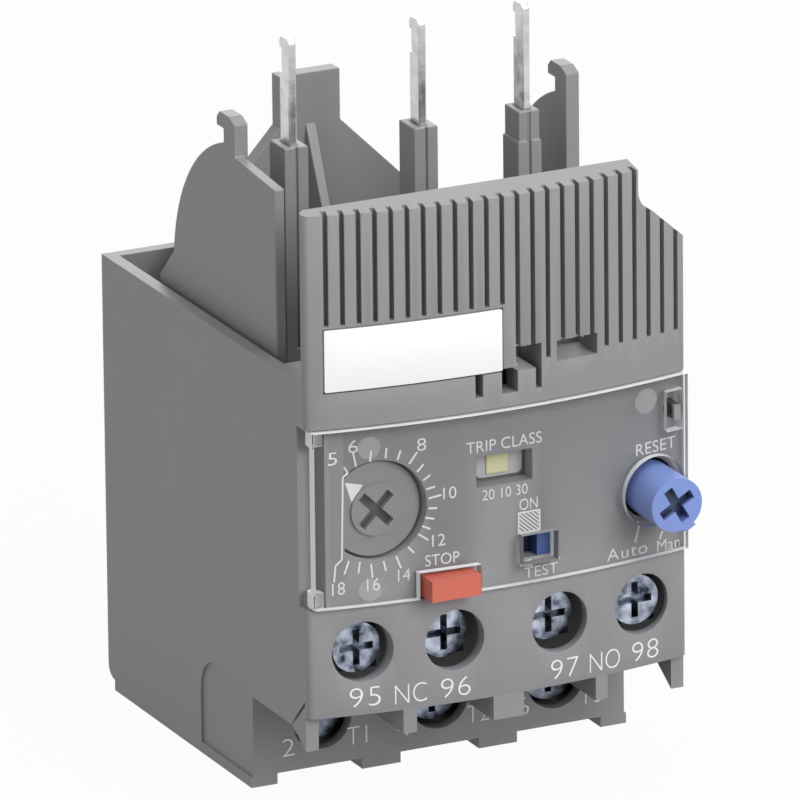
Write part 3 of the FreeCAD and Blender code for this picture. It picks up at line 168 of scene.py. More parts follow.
# studio: pale floor, soft lamps, plain world
studio = {
    "floorSize": 6.0,
    "floorColor": (0.4, 0.4, 0.4, 1.0),
    "floorRoughness": 0.9,
    "floorGlow": 0.96,  # share of plain white that the camera and mirrors see
    "shade": ((-18.7 * mm, -3.8 * mm), (18.7 * mm, 25.0 * mm)),  # no glow under the part's wire ways
    "worldColor": (1.0, 1.0, 1.0, 1.0),
    "worldLight": 0.36,
    "lamps": {
        "keyLamp": {"at": (0.4, -1.35, 0.85), "size": 0.9, "watts": 19.3},
        "fillLamp": {"at": (-1.2, -0.5, 0.6), "size": 1.0, "watts": 1.5},
        "topLamp": {"at": (0.1, -0.25, 1.45), "size": 1.0, "watts": 9.0},
        "backLamp": {"at": (0.5, 1.5, 0.8), "size": 1.0, "watts": 9.0},
    },
}


def brightToEyes(tree, dim, bright, *shares):
    # the camera, mirrors and glass see the bright shader here; the lighting rays see the dim one
    path = addNode(tree, "LightPath", {}).outputs
    seen = path["Is Camera Ray"]
    for ray in ("Is Glossy Ray", "Is Transmission Ray"):
        seen = mathNode(tree, "MAXIMUM", seen, path[ray])
    for share in shares:
        seen = mathNode(tree, "MULTIPLY", seen, share)
    return addNode(tree, "MixShader", {0: seen, 1: dim.outputs[0], 2: bright.outputs[0]}).outputs[0]


def outsideBox(tree, low, high):
    # 1 outside a flat box on the floor, 0 inside
    low, high = (Vector((*corner, 0.0)) for corner in (low, high))
    place = addNode(tree, "TexCoord", {}).outputs["Object"]
    fromMiddle = vectorNode(tree, "SUBTRACT", place, (low + high) / 2)[0]
    distance = vectorNode(tree, "ABSOLUTE", fromMiddle)[0]
    past = vectorNode(tree, "SUBTRACT", distance, (high - low) / 2)[0]
    split = addNode(tree, "SeparateXYZ", {0: past}).outputs
    return mathNode(tree, "GREATER_THAN", mathNode(tree, "MAXIMUM", split["X"], split["Y"]), 0.0)


def makeStudio(s):
    mesh = bpy.data.meshes.new("floor")
    bm = bmesh.new()
    bmesh.ops.create_grid(bm, x_segments=1, y_segments=1, size=s["floorSize"] / 2)
    bm.to_mesh(mesh)
    bm.free()
    floor = bpy.data.objects.new("floor", mesh)
    bpy.context.scene.collection.objects.link(floor)
    material, tree, bsdf = newMaterial("paleFloor")
    feed(bsdf, {"Base Color": s["floorColor"], "Roughness": s["floorRoughness"]})
    glow = addNode(tree, "Emission", {})
    surface = brightToEyes(tree, bsdf, glow, s["floorGlow"], outsideBox(tree, *s["shade"]))
    feed(tree.nodes["Material Output"], {"Surface": surface})
    mesh.materials.append(material)
    for name, lamp in s["lamps"].items():
        data = bpy.data.lights.new(name, "AREA")
        data.size = lamp["size"]
        data.energy = lamp["watts"]
        lampObject = bpy.data.objects.new(name, data)
        lampObject.location = lamp["at"]
        lampObject.rotation_euler = (-Vector(lamp["at"])).to_track_quat("-Z", "Y").to_euler()
        bpy.context.scene.collection.objects.link(lampObject)
    world = bpy.data.worlds.new("studioWorld")
    bpy.context.scene.world = world
    world.use_nodes = True
    tree = world.node_tree
    dim = feed(tree.nodes["Background"], {"Color": s["worldColor"], "Strength": s["worldLight"]})
    bright = addNode(tree, "Background", {"Color": s["worldColor"]})
    feed(tree.nodes["World Output"], {"Surface": brightToEyes(tree, dim, bright)})


makeStudio(studio)
bpy.context.scene.view_settings.view_transform = "Standard"
print("studio lit")


# a node group with its sockets, and what it is given
def newGroup(name, inputs, outputs):
    group = bpy.data.node_groups.new(name, "ShaderNodeTree")
    for side, sockets in (("INPUT", inputs), ("OUTPUT", outputs)):
        for socket, kind in sockets.items():
            group.interface.new_socket(socket, in_out=side, socket_type="NodeSocket" + kind)
    return group, group.nodes.new("NodeGroupInput").outputs


# shared effect: fine moulded grain with soft cloudy variation
grainShape = {"grainDetail": 3.0, "cloudDetail": 4.0, "cloudMiddle": 0.5, "depth": 0.02 * mm}


def makeGrainGroup(s):
    group, given = newGroup(
        "mouldedGrain",
        {"Grain Scale": "Float", "Cloud Scale": "Float", "Roughness": "Float", "Spread": "Float"},
        {"Height": "Float", "Roughness": "Float", "Cloud": "Float"})
    place = addNode(group, "TexCoord", {}).outputs["Object"]
    grain, cloud = (
        addNode(group, "TexNoise", {"Vector": place, "Scale": given[scale], "Detail": s[detail]})
        for scale, detail in (("Grain Scale", "grainDetail"), ("Cloud Scale", "cloudDetail")))
    grain, cloud = grain.outputs["Fac"], cloud.outputs["Fac"]
    offset = mathNode(group, "SUBTRACT", cloud, s["cloudMiddle"])
    roughness = mathNode(group, "MULTIPLY_ADD", offset, given["Spread"], given["Roughness"])
    feed(group.nodes.new("NodeGroupOutput"), {"Height": grain, "Roughness": roughness, "Cloud": cloud})
    return group


# shared effect: painted shade, where recesses darken with depth, inside a round patch about an axis along Y
def makePaintedShadeGroup():
    group, given = newGroup(
        "paintedDepthShade",
        {"Color": "Color", "Start": "Float", "End": "Float", "Share": "Float", "Radius": "Float",
         "Middle": "Vector"},
        {"Color": "Color"})
    place = addNode(group, "TexCoord", {}).outputs["Object"]
    along = addNode(group, "SeparateXYZ", {0: place}).outputs["Y"]
    depth = addNode(group, "MapRange", {"Value": along, "From Min": given["Start"], "From Max": given["End"]})
    flat = vectorNode(group, "MULTIPLY", place, (1.0, 0.0, 1.0))[0]
    reach = vectorNode(group, "DISTANCE", flat, given["Middle"])["Value"]
    inside = mathNode(group, "LESS_THAN", reach, given["Radius"])
    mask = mathNode(group, "MULTIPLY", depth.outputs["Result"], inside)
    dim = addNode(group, "VectorMath", {0: given["Color"], "Scale": given["Share"]}, operation="SCALE")
    mix = addNode(group, "Mix", {"Factor": mask, "A": given["Color"], "B": dim.outputs[0]}, data_type="RGBA")
    feed(group.nodes.new("NodeGroupOutput"), {"Color": mix.outputs["Result"]})
    return group


grainGroup = makeGrainGroup(grainShape)
paintedShadeGroup = makePaintedShadeGroup()


# light and dark are the colours of the clouds, and contrast sharpens the change between them
def grainMaterial(name, light, dark, roughness, grain, bump,
                    spread=0.12, cloud=140.0, metal=0.0, contrast=1.0):
    material, tree, bsdf = newMaterial(name)
    effect = addNode(tree, "Group", {"Grain Scale": grain, "Cloud Scale": cloud, "Roughness": roughness,
                                     "Spread": spread}, node_tree=grainGroup).outputs
    middle = grainShape["cloudMiddle"]
    blend = addNode(tree, "MapRange", {"Value": effect["Cloud"], "From Min": middle - 0.5 / contrast,
                                       "From Max": middle + 0.5 / contrast})
    tone = addNode(tree, "Mix", {"Factor": blend.outputs["Result"], "A": (*dark, 1.0), "B": (*light, 1.0)},
                   data_type="RGBA")
    relief = addNode(tree, "Bump", {"Strength": bump, "Distance": grainShape["depth"],
                                    "Height": effect["Height"]})
    feed(bsdf, {"Metallic": metal, "Base Color": tone.outputs["Result"],
                "Roughness": effect["Roughness"], "Normal": relief.outputs["Normal"]})
    return material


def paintDepthShade(material, start, end, share, middle=(0.0, 0.0, 0.0), radius=1.0):
    # painted shade: further back than start the colour fades to a share of itself, reached at end (places
    # along Y)
    bsdf = material.node_tree.nodes["Principled BSDF"]
    color = bsdf.inputs["Base Color"].links[0].from_socket
    effect = addNode(material.node_tree, "Group", {"Color": color, "Start": start, "End": end, "Share": share,
                                                   "Middle": middle, "Radius": radius}, node_tree=paintedShadeGroup)
    feed(bsdf, {"Base Color": effect.outputs["Color"]})
    return material


clearLook = {"Base Color": (0.8, 0.805, 0.81, 1.0), "Transmission Weight": 1.0, "IOR": 1.3, "Roughness": 0.03}


def clearMaterial(look):
    # light passes straight through to what lies behind
    material, tree, bsdf = newMaterial("clearCover")
    feed(bsdf, look)
    path = addNode(tree, "LightPath", {}).outputs
    passing = mathNode(tree, "MAXIMUM", path["Is Shadow Ray"], path["Is Diffuse Ray"])
    hole = addNode(tree, "BsdfTransparent", {})
    mix = addNode(tree, "MixShader", {0: passing, 1: bsdf.outputs[0], 2: hole.outputs[0]})
    feed(tree.nodes["Material Output"], {"Surface": mix.outputs[0]})
    return material


# finishes by material slot; looks that more than one finish shares come first
metalLook = {"metal": 1.0, "spread": 0.25, "cloud": 500.0}
greyLook = {"light": (0.258, 0.257, 0.263), "dark": (0.228, 0.227, 0.233),
            "roughness": 0.5, "grain": 9000.0, "bump": 0.25}
silverLook = {"light": (0.86, 0.85, 0.87), "dark": (0.36, 0.35, 0.37), "metal": 1.0,
              "roughness": 0.3, "grain": 2600.0, "bump": 0.35, "spread": 0.3, "cloud": 800.0}
zincLook = {"metal": 1.0, "roughness": 0.26, "grain": 1800.0, "bump": 0.8, "spread": 0.4, "cloud": 700.0}
finishes = {
    "grey_moulding": grainMaterial("greyMoulding", **greyLook),
    "clear_cover": clearMaterial(clearLook),
    "label_white": grainMaterial("labelWhite", light=(0.9, 0.9, 0.91), dark=(0.87, 0.87, 0.88),
                                   roughness=0.45, grain=6000.0, bump=0.05),
    "dial_grey": grainMaterial("dialGrey", light=(0.27, 0.27, 0.275), dark=(0.235, 0.235, 0.24),
                                 roughness=0.42, grain=9000.0, bump=0.2),
    "red": grainMaterial("redPlastic", light=(0.6, 0.135, 0.09), dark=(0.53, 0.115, 0.075),
                           roughness=0.36, grain=7000.0, bump=0.12),
    "pale_yellow": grainMaterial("paleYellow", light=(0.73, 0.73, 0.41), dark=(0.66, 0.66, 0.36),
                                   roughness=0.45, grain=7000.0, bump=0.1),
    "inner_black": grainMaterial("innerBlack", light=(0.045, 0.045, 0.05), dark=(0.03, 0.03, 0.033),
                                   roughness=0.55, grain=8000.0, bump=0.2),
    "board_green": grainMaterial("boardGreen", light=(0.03, 0.2, 0.08), dark=(0.02, 0.14, 0.055),
                                   roughness=0.3, grain=3000.0, bump=0.15),
    "can_silver": grainMaterial("canSilver", light=(0.74, 0.74, 0.76), dark=(0.64, 0.64, 0.66),
                                  roughness=0.35, grain=5000.0, bump=0.1, **metalLook),
    "silvered": grainMaterial("silveredBlade", **silverLook),
    "zinc_steel": grainMaterial("blueZinc", light=(0.44, 0.49, 0.6), dark=(0.015, 0.02, 0.035), **zincLook),
    "copper": grainMaterial("copperWire", light=(0.7, 0.32, 0.16), dark=(0.52, 0.2, 0.09),
                              roughness=0.4, grain=4000.0, bump=0.2, **metalLook),
    "core_iron": grainMaterial("coreIron", light=(0.2, 0.2, 0.21), dark=(0.13, 0.13, 0.14),
                                 roughness=0.55, grain=5000.0, bump=0.3, **metalLook),
    "spring_steel": grainMaterial("springSteel", light=(0.62, 0.62, 0.64), dark=(0.48, 0.48, 0.5),
                                    roughness=0.3, grain=5000.0, bump=0.1, **metalLook),
}

# finishes of single nodes, with painted shade in their recesses
ownLooks = {
    "dialFace": {"light": (0.265, 0.264, 0.27), "dark": (0.23, 0.229, 0.235),
                 "roughness": 0.42, "grain": 9000.0, "bump": 0.2},
    "knobBlue": {"light": (0.2, 0.285, 0.63), "dark": (0.18, 0.255, 0.57),
                 "roughness": 0.32, "grain": 7000.0, "bump": 0.12},
    # painted shade: a darker blue than the knob's, for the shade in the test window
    "shadedTestBlue": {"light": (0.05, 0.09, 0.27), "dark": (0.04, 0.07, 0.22),
                 "roughness": 0.36, "grain": 7000.0, "bump": 0.12},
    # painted shade: steel darker than the screws' zinc, for the shade inside the main terminals
    "clampSteel": {**metalLook, "light": (0.16, 0.17, 0.2), "dark": (0.08, 0.085, 0.1),
                   "roughness": 0.55, "grain": 3000.0, "bump": 0.3},
    "auxZinc": {**zincLook, "light": (0.62, 0.68, 0.82), "dark": (0.03, 0.04, 0.065), "contrast": 2.6},
    # painted shade: a darker copy of the aux screws' zinc, for the shade the main screws sit in
    "shadedMainZinc": {**zincLook, "light": (0.3, 0.34, 0.43), "dark": (0.01, 0.015, 0.025), "contrast": 2.6},
    "busbarBlade": silverLook,
    "frontMoulding": greyLook,
    "rearMoulding": greyLook,
}
# painted shade in slots, wells, the test window, round the seal tab and on the busbars' ends
paintedShades = {
    "slotStart": 0.3 * mm, "slotEnd": 0.6 * mm,  # behind the face of a knob, screw or tab
    "dialFace": -22.2 * mm, "dialShade": 0.14,
    "knobRadius": 2.1 * mm, "knobShade": 0.22,
    "testFace": -22.6 * mm, "testDepth": 1.0 * mm, "testShade": 0.25,
    "screwShade": 0.25,
    "wellStart": 0.5 * mm, "wellEnd": 2.5 * mm, "wellShade": 0.4, "wellRadius": 3.7 * mm,
    "sealTab": (20.65 * mm, 0.0, 40.85 * mm), "sealRadius": 0.95 * mm, "sealShade": 0.22,
    "sealEdge": 21.7 * mm, "sealReach": 2.6 * mm,  # the tab stands this far out of the panel there
    "busbarFoot": (0.0, 0.0, 5.0 * mm), "footRadius": 28.0 * mm, "footShade": 0.15,  # painted shade on the busbars' ends in the terminals
}


def nodesOf(start):
    return [name for name in nodes if name.startswith(start)]


def axisOf(node):
    # where an axis along Y through the node's middle lies
    low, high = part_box(node)
    return (low.x + high.x) / 2, 0.0, (low.z + high.z) / 2


# painted shade in the screw wells, darkening with depth round each screw's axis
def paintWellShade(material, screws, frontY, s):
    for screw in screws:
        axis = axisOf(screw)
        front = frontY(axis[0])
        paintDepthShade(material, front + s["wellStart"], front + s["wellEnd"], s["wellShade"],
                   axis, s["wellRadius"])
    return material


# painted shade in driver slots and behind a face
def paintSlotShade(material, face, s, share, *patch):
    paintDepthShade(material, face + s["slotStart"], face + s["slotEnd"], share, *patch)


def makeOwnFinishes(looks, s):
    own = {name: grainMaterial(name, **look) for name, look in looks.items()}
    # painted shade in the dial's cross slot
    paintDepthShade(own["dialFace"], s["dialFace"], s["dialFace"] + s["slotEnd"], s["dialShade"])
    # painted shade deeper in the test window
    paintDepthShade(own["shadedTestBlue"], s["testFace"], s["testFace"] + s["testDepth"], s["testShade"])
    # painted shade in the reset knob's cross slot
    paintSlotShade(own["knobBlue"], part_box("reset_button")[0].y, s, s["knobShade"],
                axisOf("selector_ring"), s["knobRadius"])
    # painted shade in the screws' cross slots
    paintSlotShade(own["auxZinc"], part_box("aux_screw_95")[0].y, s, s["screwShade"])
    paintSlotShade(own["shadedMainZinc"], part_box("main_screw_1")[0].y, s, s["screwShade"])
    # painted shade in the screw wells of the front block and the base
    paintWellShade(own["frontMoulding"], nodesOf("aux_screw_"), lambda x: bowY(x, 0.0), s)
    paintWellShade(own["rearMoulding"], nodesOf("main_screw_"), lambda x: baseFront, s)
    # painted shade round the seal tab's sides
    paintSlotShade(own["frontMoulding"], panelY(s["sealEdge"]) - s["sealReach"], s, s["sealShade"],
                s["sealTab"], s["sealRadius"])
    # this painted shade starts ahead of the whole part, so the busbars' ends are darkened all through
    paintDepthShade(own["busbarBlade"], cadLow.y - mm, cadLow.y, s["footShade"], s["busbarFoot"], s["footRadius"])
    wearers = {"dialFace": "setting_dial", "knobBlue": "reset_button", "shadedTestBlue": "test_slide",
               "frontMoulding": "front_housing", "rearMoulding": "rear_housing", "auxZinc": "aux_screw_",
               "shadedMainZinc": "main_screw_", "clampSteel": "main_clamp_", "busbarBlade": "conductor_"}
    return {node: own[name] for name, start in wearers.items() for node in nodesOf(start)}


slotOf = {row["node"]: row["material_slot"] for row in frame["record"]["subparts"]}
ownFinish = makeOwnFinishes(ownLooks, paintedShades)
for name, cadNode in nodes.items():
    cadNode.data.materials.clear()
    cadNode.data.materials.append(ownFinish.get(name) or finishes[slotOf[name]])
print("finishes on", len(slotOf), "nodes")


# a finished bmesh becomes a piece that rides on a body
def addPiece(name, bm, body, slot, *materials):
    mesh = bpy.data.meshes.new(name)
    bm.to_mesh(mesh)
    bm.free()
    for material in materials:
        mesh.materials.append(material)
    piece = bpy.data.objects.new(name, mesh)
    bpy.context.scene.collection.objects.link(piece)
    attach(piece, body)
    return piece


def joinInto(bm, part):
    mesh = bpy.data.meshes.new("part")
    part.to_mesh(mesh)
    part.free()
    bm.from_mesh(mesh)
    bpy.data.meshes.remove(mesh)


def standUp(bm):
    # what was drawn flat on the floor's plane faces the front
    bmesh.ops.rotate(bm, verts=bm.verts, cent=(0, 0, 0), matrix=Matrix.Rotation(math.pi / 2, 3, "X"))


def extrudeFaces(bm, faces):
    grown = bmesh.ops.extrude_face_region(bm, geom=faces)["geom"]
    return [part for part in grown if isinstance(part, bmesh.types.BMVert)]


# softened edges on the mouldings and knobs
softEdges = {
    "angle": 40.0,  # degrees; a flatter edge stays as it is
    "segments": 2,
    "widths": {
        "front_housing": 0.14 * mm,
        "rear_housing": 0.18 * mm,
        "top_carrier": 0.14 * mm,
        "marker_plate": 0.12 * mm,
        "setting_dial": 0.1 * mm,
        "reset_button": 0.14 * mm,
        "stop_button": 0.16 * mm,
        "class_slider": 0.12 * mm,
        "conductor_1": 0.14 * mm,
        "conductor_2": 0.14 * mm,
        "conductor_3": 0.14 * mm,
    },
}


def softenEdges(s):
    for name, width in s["widths"].items():
        weld = nodes[name].modifiers.new("joinFaces", "WELD")
        weld.merge_threshold = mergeGap
        soft = nodes[name].modifiers.new("softEdge", "BEVEL")
        soft.width = width
        soft.segments = s["segments"]
        soft.profile = 0.5
        soft.limit_method = "ANGLE"
        soft.angle_limit = math.radians(s["angle"])
        soft.use_clamp_overlap = True
        soft.harden_normals = False


softenEdges(softEdges)
print("edges softened on", len(softEdges["widths"]), "nodes")

# clear cover: polished faces; the edge faces all round its outline and holes are opaque pale grey, a painted
# highlight
coverPane = {
    "edgeSoft": 0.1 * mm,
    "evenOut": 0.5,  # degrees; faces that meet at less become one
    "polished": 0.93,  # faces that look forward or back more than this stay polished
    "sharp": 35.0,  # degrees; edges that turn more are softened
    "testWindow": ((1.2 * mm, 26.6 * mm), (6.2 * mm, 30.8 * mm)),  # its rim is opaque grey like the panel, not the painted highlight
}
# painted highlight on the cover's edge faces
coverEdgeHighlight = grainMaterial("coverEdgeHighlight", light=(0.88, 0.89, 0.9), dark=(0.78, 0.79, 0.8),
                            roughness=0.35, grain=6000.0, bump=0.05)
windowRim = grainMaterial("windowRim", light=(0.29, 0.29, 0.3), dark=(0.26, 0.26, 0.27),
                            roughness=0.5, grain=6000.0, bump=0.05)


def makeCover(s):
    bm = bmesh.new()
    bm.from_mesh(nodes["clear_cover"].data)
    bmesh.ops.remove_doubles(bm, verts=bm.verts, dist=mergeGap)
    bmesh.ops.dissolve_limit(bm, angle_limit=math.radians(s["evenOut"]), verts=bm.verts, edges=bm.edges)
    sharp = math.radians(s["sharp"])
    rims = [e for e in bm.edges if e.is_convex and e.calc_face_angle(0.0) > sharp]
    bmesh.ops.bevel(bm, geom=rims, offset=s["edgeSoft"], offset_type="OFFSET", affect="EDGES",
                    segments=1, profile=0.5, clamp_overlap=True, material=-1)
    bmesh.ops.triangulate(bm, faces=bm.faces)
    (left, bottom), (right, top) = s["testWindow"]
    for face in bm.faces:
        face.smooth = False
        middle = face.calc_center_median()
        dull = left < middle.x < right and bottom < middle.z < top
        face.material_index = 0 if abs(face.normal.y) > s["polished"] else 2 if dull else 1
    cover = addPiece("coverPane", bm, "cover", "clear_cover", finishes["clear_cover"], coverEdgeHighlight, windowRim)
    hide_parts("clear_cover")


makeCover(coverPane)
print("cover made")


# springs: copies of the joints' deforming spring nodes, riding on the housing
def makeSprings(joints):
    springs = [(joint, row) for joint in joints for row in joint.get("deforming_nodes", [])]
    for joint, row in springs:
        bm = bmesh.new()
        bm.from_mesh(nodes[row["node"]].data)
        bmesh.ops.remove_doubles(bm, verts=bm.verts, dist=mergeGap)
        name = row["node"].replace("_s", "S")
        spring = addPiece(name, bm, "housing", "spring_steel", finishes["spring_steel"])
        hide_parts(row["node"])
        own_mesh(spring)
    return len(springs)


print("springs made:", makeSprings(frame["record"]["behaviour"]["joints"]))

# printing: words and strokes, thin and bent to the surface that carries them
printing = {
    "thick": 0.05 * mm,
    "sunk": 0.01 * mm,
    "stroke": 0.2 * mm,
    "thin": -0.008,  # draws small letters in a little, in letter sizes
    "thinLarge": -0.02,
    "letterDepth": 0.02,  # in letter sizes, before the letters are scaled
    "letterMerge": 0.0001,
    "spread": 0.35,  # share of a wide word that goes to the gaps between its letters
}
inkWhite = grainMaterial("inkWhite", light=(0.84, 0.84, 0.84), dark=(0.74, 0.74, 0.74),
                           roughness=0.5, grain=7000.0, bump=0.05)


def letterShape(word, thin, spacing=1.0):
    curve = bpy.data.curves.new("word", "FONT")
    curve.body = word
    curve.extrude = printing["letterDepth"]
    curve.offset = thin
    curve.space_character = spacing
    text = bpy.data.objects.new("word", curve)
    bpy.context.scene.collection.objects.link(text)
    seen = text.evaluated_get(bpy.context.evaluated_depsgraph_get())
    mesh = bpy.data.meshes.new_from_object(seen)
    bpy.data.objects.remove(text)
    bpy.data.curves.remove(curve)
    letters = bmesh.new()
    letters.from_mesh(mesh)
    bpy.data.meshes.remove(mesh)
    bmesh.ops.remove_doubles(letters, verts=letters.verts, dist=printing["letterMerge"])
    low = Vector(min(v.co[k] for v in letters.verts) for k in range(3))
    high = Vector(max(v.co[k] for v in letters.verts) for k in range(3))
    bmesh.ops.translate(letters, verts=letters.verts, vec=-(low + high) / 2)
    return letters, high - low


def addWord(bm, word, left, right, middle, height, thin=printing["thin"]):
    letters, size = letterShape(word, thin)
    wide = (right - left) / height * size.y  # the width at which the letters keep their shape
    if len(word) > 1 and wide > size.x:
        letters.free()
        letters, size = letterShape(word, thin, 1 + printing["spread"] * (wide / size.x - 1))
    stretch = ((right - left) * mm / size.x, height * mm / size.y, printing["thick"] / size.z)
    bmesh.ops.scale(letters, verts=letters.verts, vec=stretch)
    standUp(letters)
    place = ((left + right) * mm / 2, 0.0, middle * mm)
    bmesh.ops.translate(letters, verts=letters.verts, vec=place)
    joinInto(bm, letters)


def addStroke(bm, start, end, width=printing["stroke"]):
    bar = bmesh.ops.create_cube(bm, size=1.0)["verts"]
    start, end = (Vector((p[0], 0.0, p[1])) * mm for p in (start, end))
    along = end - start
    bmesh.ops.scale(bm, verts=bar, vec=(along.length, printing["thick"], width))
    turn = Matrix.Rotation(-math.atan2(along.z, along.x), 3, "Y")
    bmesh.ops.rotate(bm, verts=bar, cent=(0, 0, 0), matrix=turn)
    bmesh.ops.translate(bm, verts=bar, vec=(start + end) / 2)


def layOn(bm, surfaceY):
    for vert in bm.verts:
        vert.co.y += surfaceY(vert.co.x) - printing["thick"] / 2 + printing["sunk"]


# flat strip along the panel's left side: it covers the dial's left rim and carries the scale's edge line
dialShield = {
    "left": -20.43 * mm,
    "right": -18.15 * mm,
    "bottom": 24.75 * mm,
    "top": 44.85 * mm,
    "cells": (6, 60),
    "front": -22.42 * mm,
    "back": -22.3 * mm,  # over the dial, where the strip stays clear of it
    "lip": 0.02 * mm,
    "clearOfDial": 5.7 * mm,
}
dialMiddle = sum(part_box("setting_dial"), Vector()) / 2


def shieldFront(x):
    return min(dialShield["front"], panelY(x) - dialShield["lip"])


def makeShield(s):
    def overDial(p):
        return math.hypot(p.x - dialMiddle.x, p.z - dialMiddle.z) < s["clearOfDial"]

    wide, tall = s["right"] - s["left"], s["top"] - s["bottom"]
    bm = bmesh.new()
    bmesh.ops.create_grid(bm, x_segments=s["cells"][0], y_segments=s["cells"][1], size=0.5)
    bmesh.ops.scale(bm, verts=bm.verts, vec=(wide, tall, 1.0))
    standUp(bm)
    bmesh.ops.translate(bm, verts=bm.verts, vec=(s["left"] + wide / 2, 0.0, s["bottom"] + tall / 2))
    back = bm.verts[:]
    for vert in extrudeFaces(bm, bm.faces[:]):
        vert.co.y = shieldFront(vert.co.x)
    for vert in back:
        panel = panelY(vert.co.x)
        vert.co.y = min(s["back"], panel) if overDial(vert.co) else panel + s["lip"]
    bmesh.ops.recalc_face_normals(bm, faces=bm.faces)
    addPiece("dialShield", bm, "housing", "grey_moulding", finishes["grey_moulding"])


makeShield(dialShield)

# settings panel, in mm: words by x left, x right, z middle and height; lines by their ends (x, z)
panelPrint = {
    "words": {
        "5": (-20.0, -18.95, 41.49, 1.4), "6": (-17.55, -16.55, 42.5, 1.4),
        "8": (-9.98, -8.98, 41.84, 1.4), "10": (-7.09, -5.6, 36.0, 1.3),
        "12": (-8.4, -6.92, 30.87, 1.3), "14": (-12.27, -10.92, 27.45, 1.35),
        "16": (-15.71, -14.28, 26.8, 1.4), "18": (-19.7, -18.2, 26.83, 1.4),
        "STOP": (-9.22, -5.32, 28.7, 1.25), "TRIP CLASS": (-4.4, 4.48, 40.66, 1.25),
        "20 10 30": (-2.59, 2.74, 35.13, 1.15), "ON": (1.77, 3.94, 33.38, 1.25),
        "TEST": (2.3, 6.31, 25.6, 1.2), "RESET": (16.23, 21.36, 36.85, 1.3),
        "Auto": (12.44, 17.59, 25.7, 1.35), "Man": (18.91, 21.9, 25.4, 1.3),
    },
    "ticks": [
        ((-9.99, 41.07), (-10.91, 39.84)), ((-9.27, 39.63), (-10.02, 38.83)),
        ((-8.55, 38.3), (-9.35, 37.79)), ((-8.0, 36.94), (-9.02, 36.74)),
        ((-7.32, 35.89), (-8.75, 35.69)), ((-7.79, 34.49), (-8.76, 34.57)),
        ((-8.15, 33.31), (-9.17, 33.61)), ((-8.61, 32.24), (-9.52, 32.7)),
        ((-8.85, 31.04), (-9.98, 31.86)), ((-10.45, 29.79), (-11.12, 30.55)),
        ((-11.92, 28.29), (-12.47, 29.7)), ((-13.6, 28.16), (-13.86, 29.31)),
        ((-15.1, 27.55), (-15.24, 29.14)), ((-16.63, 28.28), (-16.45, 29.5)),
        ((-18.26, 28.35), (-17.65, 29.74)), ((-15.1, 41.8), (-15.23, 40.58)),
        ((-13.39, 41.94), (-13.51, 40.78)), ((-11.84, 41.47), (-12.18, 40.45)),
        ((-17.07, 41.8), (-16.76, 40.2)), ((-18.12, 40.34), (-17.64, 39.62)),
    ],
    "edgeLine": [(-17.64, 39.62), (-18.3, 39.24), (-18.49, 30.9), (-18.51, 30.06), (-19.28, 29.47),
                 (-19.46, 27.69)],
    "leadLines": [((16.7, 28.69), (16.03, 26.5)), ((19.58, 27.05), (19.25, 26.2))],
    "arrow": [((1.77, 26.58), (6.57, 26.58)), ((1.77, 26.58), (3.3, 26.85)), ((1.77, 26.58), (3.3, 26.31))],
    "hatch": {"low": (1.64, 30.2), "high": (4.17, 32.48), "lines": 5, "stroke": 0.16 * mm},
}


def addHatch(bm, s):
    (left, bottom), (right, top) = s["low"], s["high"]
    corners = [(left, bottom), (right, bottom), (right, top), (left, top)]
    for start, end in zip(corners, corners[1:] + corners[:1]):
        addStroke(bm, start, end, s["stroke"])
    wide, tall = right - left, top - bottom
    for k in range(1, 2 * s["lines"]):
        reach = k / s["lines"]  # slanting lines, each from the left or top edge to the bottom or right edge
        if reach <= 1:
            start, end = (left, bottom + reach * tall), (left + reach * wide, bottom)
        else:
            start, end = (left + (reach - 1) * wide, top), (right, bottom + (reach - 1) * tall)
        addStroke(bm, start, end, s["stroke"])


def makePanelPrint(s):
    bm = bmesh.new()
    for word, (left, right, middle, height) in s["words"].items():
        addWord(bm, word, left, right, middle, height)
    edgeLine = list(zip(s["edgeLine"], s["edgeLine"][1:]))
    for start, end in s["ticks"] + edgeLine + s["leadLines"] + s["arrow"]:
        addStroke(bm, start, end)
    addHatch(bm, s["hatch"])
    layOn(bm, lambda x: shieldFront(x) if x < dialShield["right"] else panelY(x))
    addPiece("panelPrint", bm, "housing", "label_white", inkWhite)


makePanelPrint(panelPrint)

# terminal numbers on the front block and on the base (x middle, z middle, width, in mm)
terminalPrint = {
    "front": {"95": (-16.4, 14.5, 3.4), "NC": (-11.3, 14.3, 3.6), "96": (-6.2, 14.3, 3.4),
              "97": (6.8, 14.3, 3.4), "NO": (11.8, 14.2, 3.8), "98": (17.0, 14.3, 3.4)},
    "frontHeight": 2.15,
    "base": {"2": (-18.1, 3.9, 1.5), "T1": (-9.9, 4.0, 2.4), "4": (-4.3, 4.0, 1.6),
             "T2": (4.6, 4.1, 2.6), "6": (10.0, 4.0, 1.5), "T3": (18.2, 4.0, 2.6)},
    "baseHeight": 2.0,
}


def makeTerminalPrint(s):
    for name, words, height, surfaceY in (
            ("frontNumbers", s["front"], s["frontHeight"], lambda x: bowY(x, 0.0)),
            ("baseNumbers", s["base"], s["baseHeight"], lambda x: baseFront)):
        bm = bmesh.new()
        for word, (x, z, width) in words.items():
            addWord(bm, word, x - width / 2, x + width / 2, z, height, printing["thinLarge"])
        layOn(bm, surfaceY)
        addPiece(name, bm, "housing", "label_white", inkWhite)


makeTerminalPrint(terminalPrint)
print("printing laid on")

# white pointer on the dial's rim
dialPointer = {
    "corners": [(-17.97, 38.53), (-15.9, 38.0), (-17.2, 36.15)],  # x, z in mm
    "thick": 0.05 * mm,
    "root": -22.24 * mm,
}


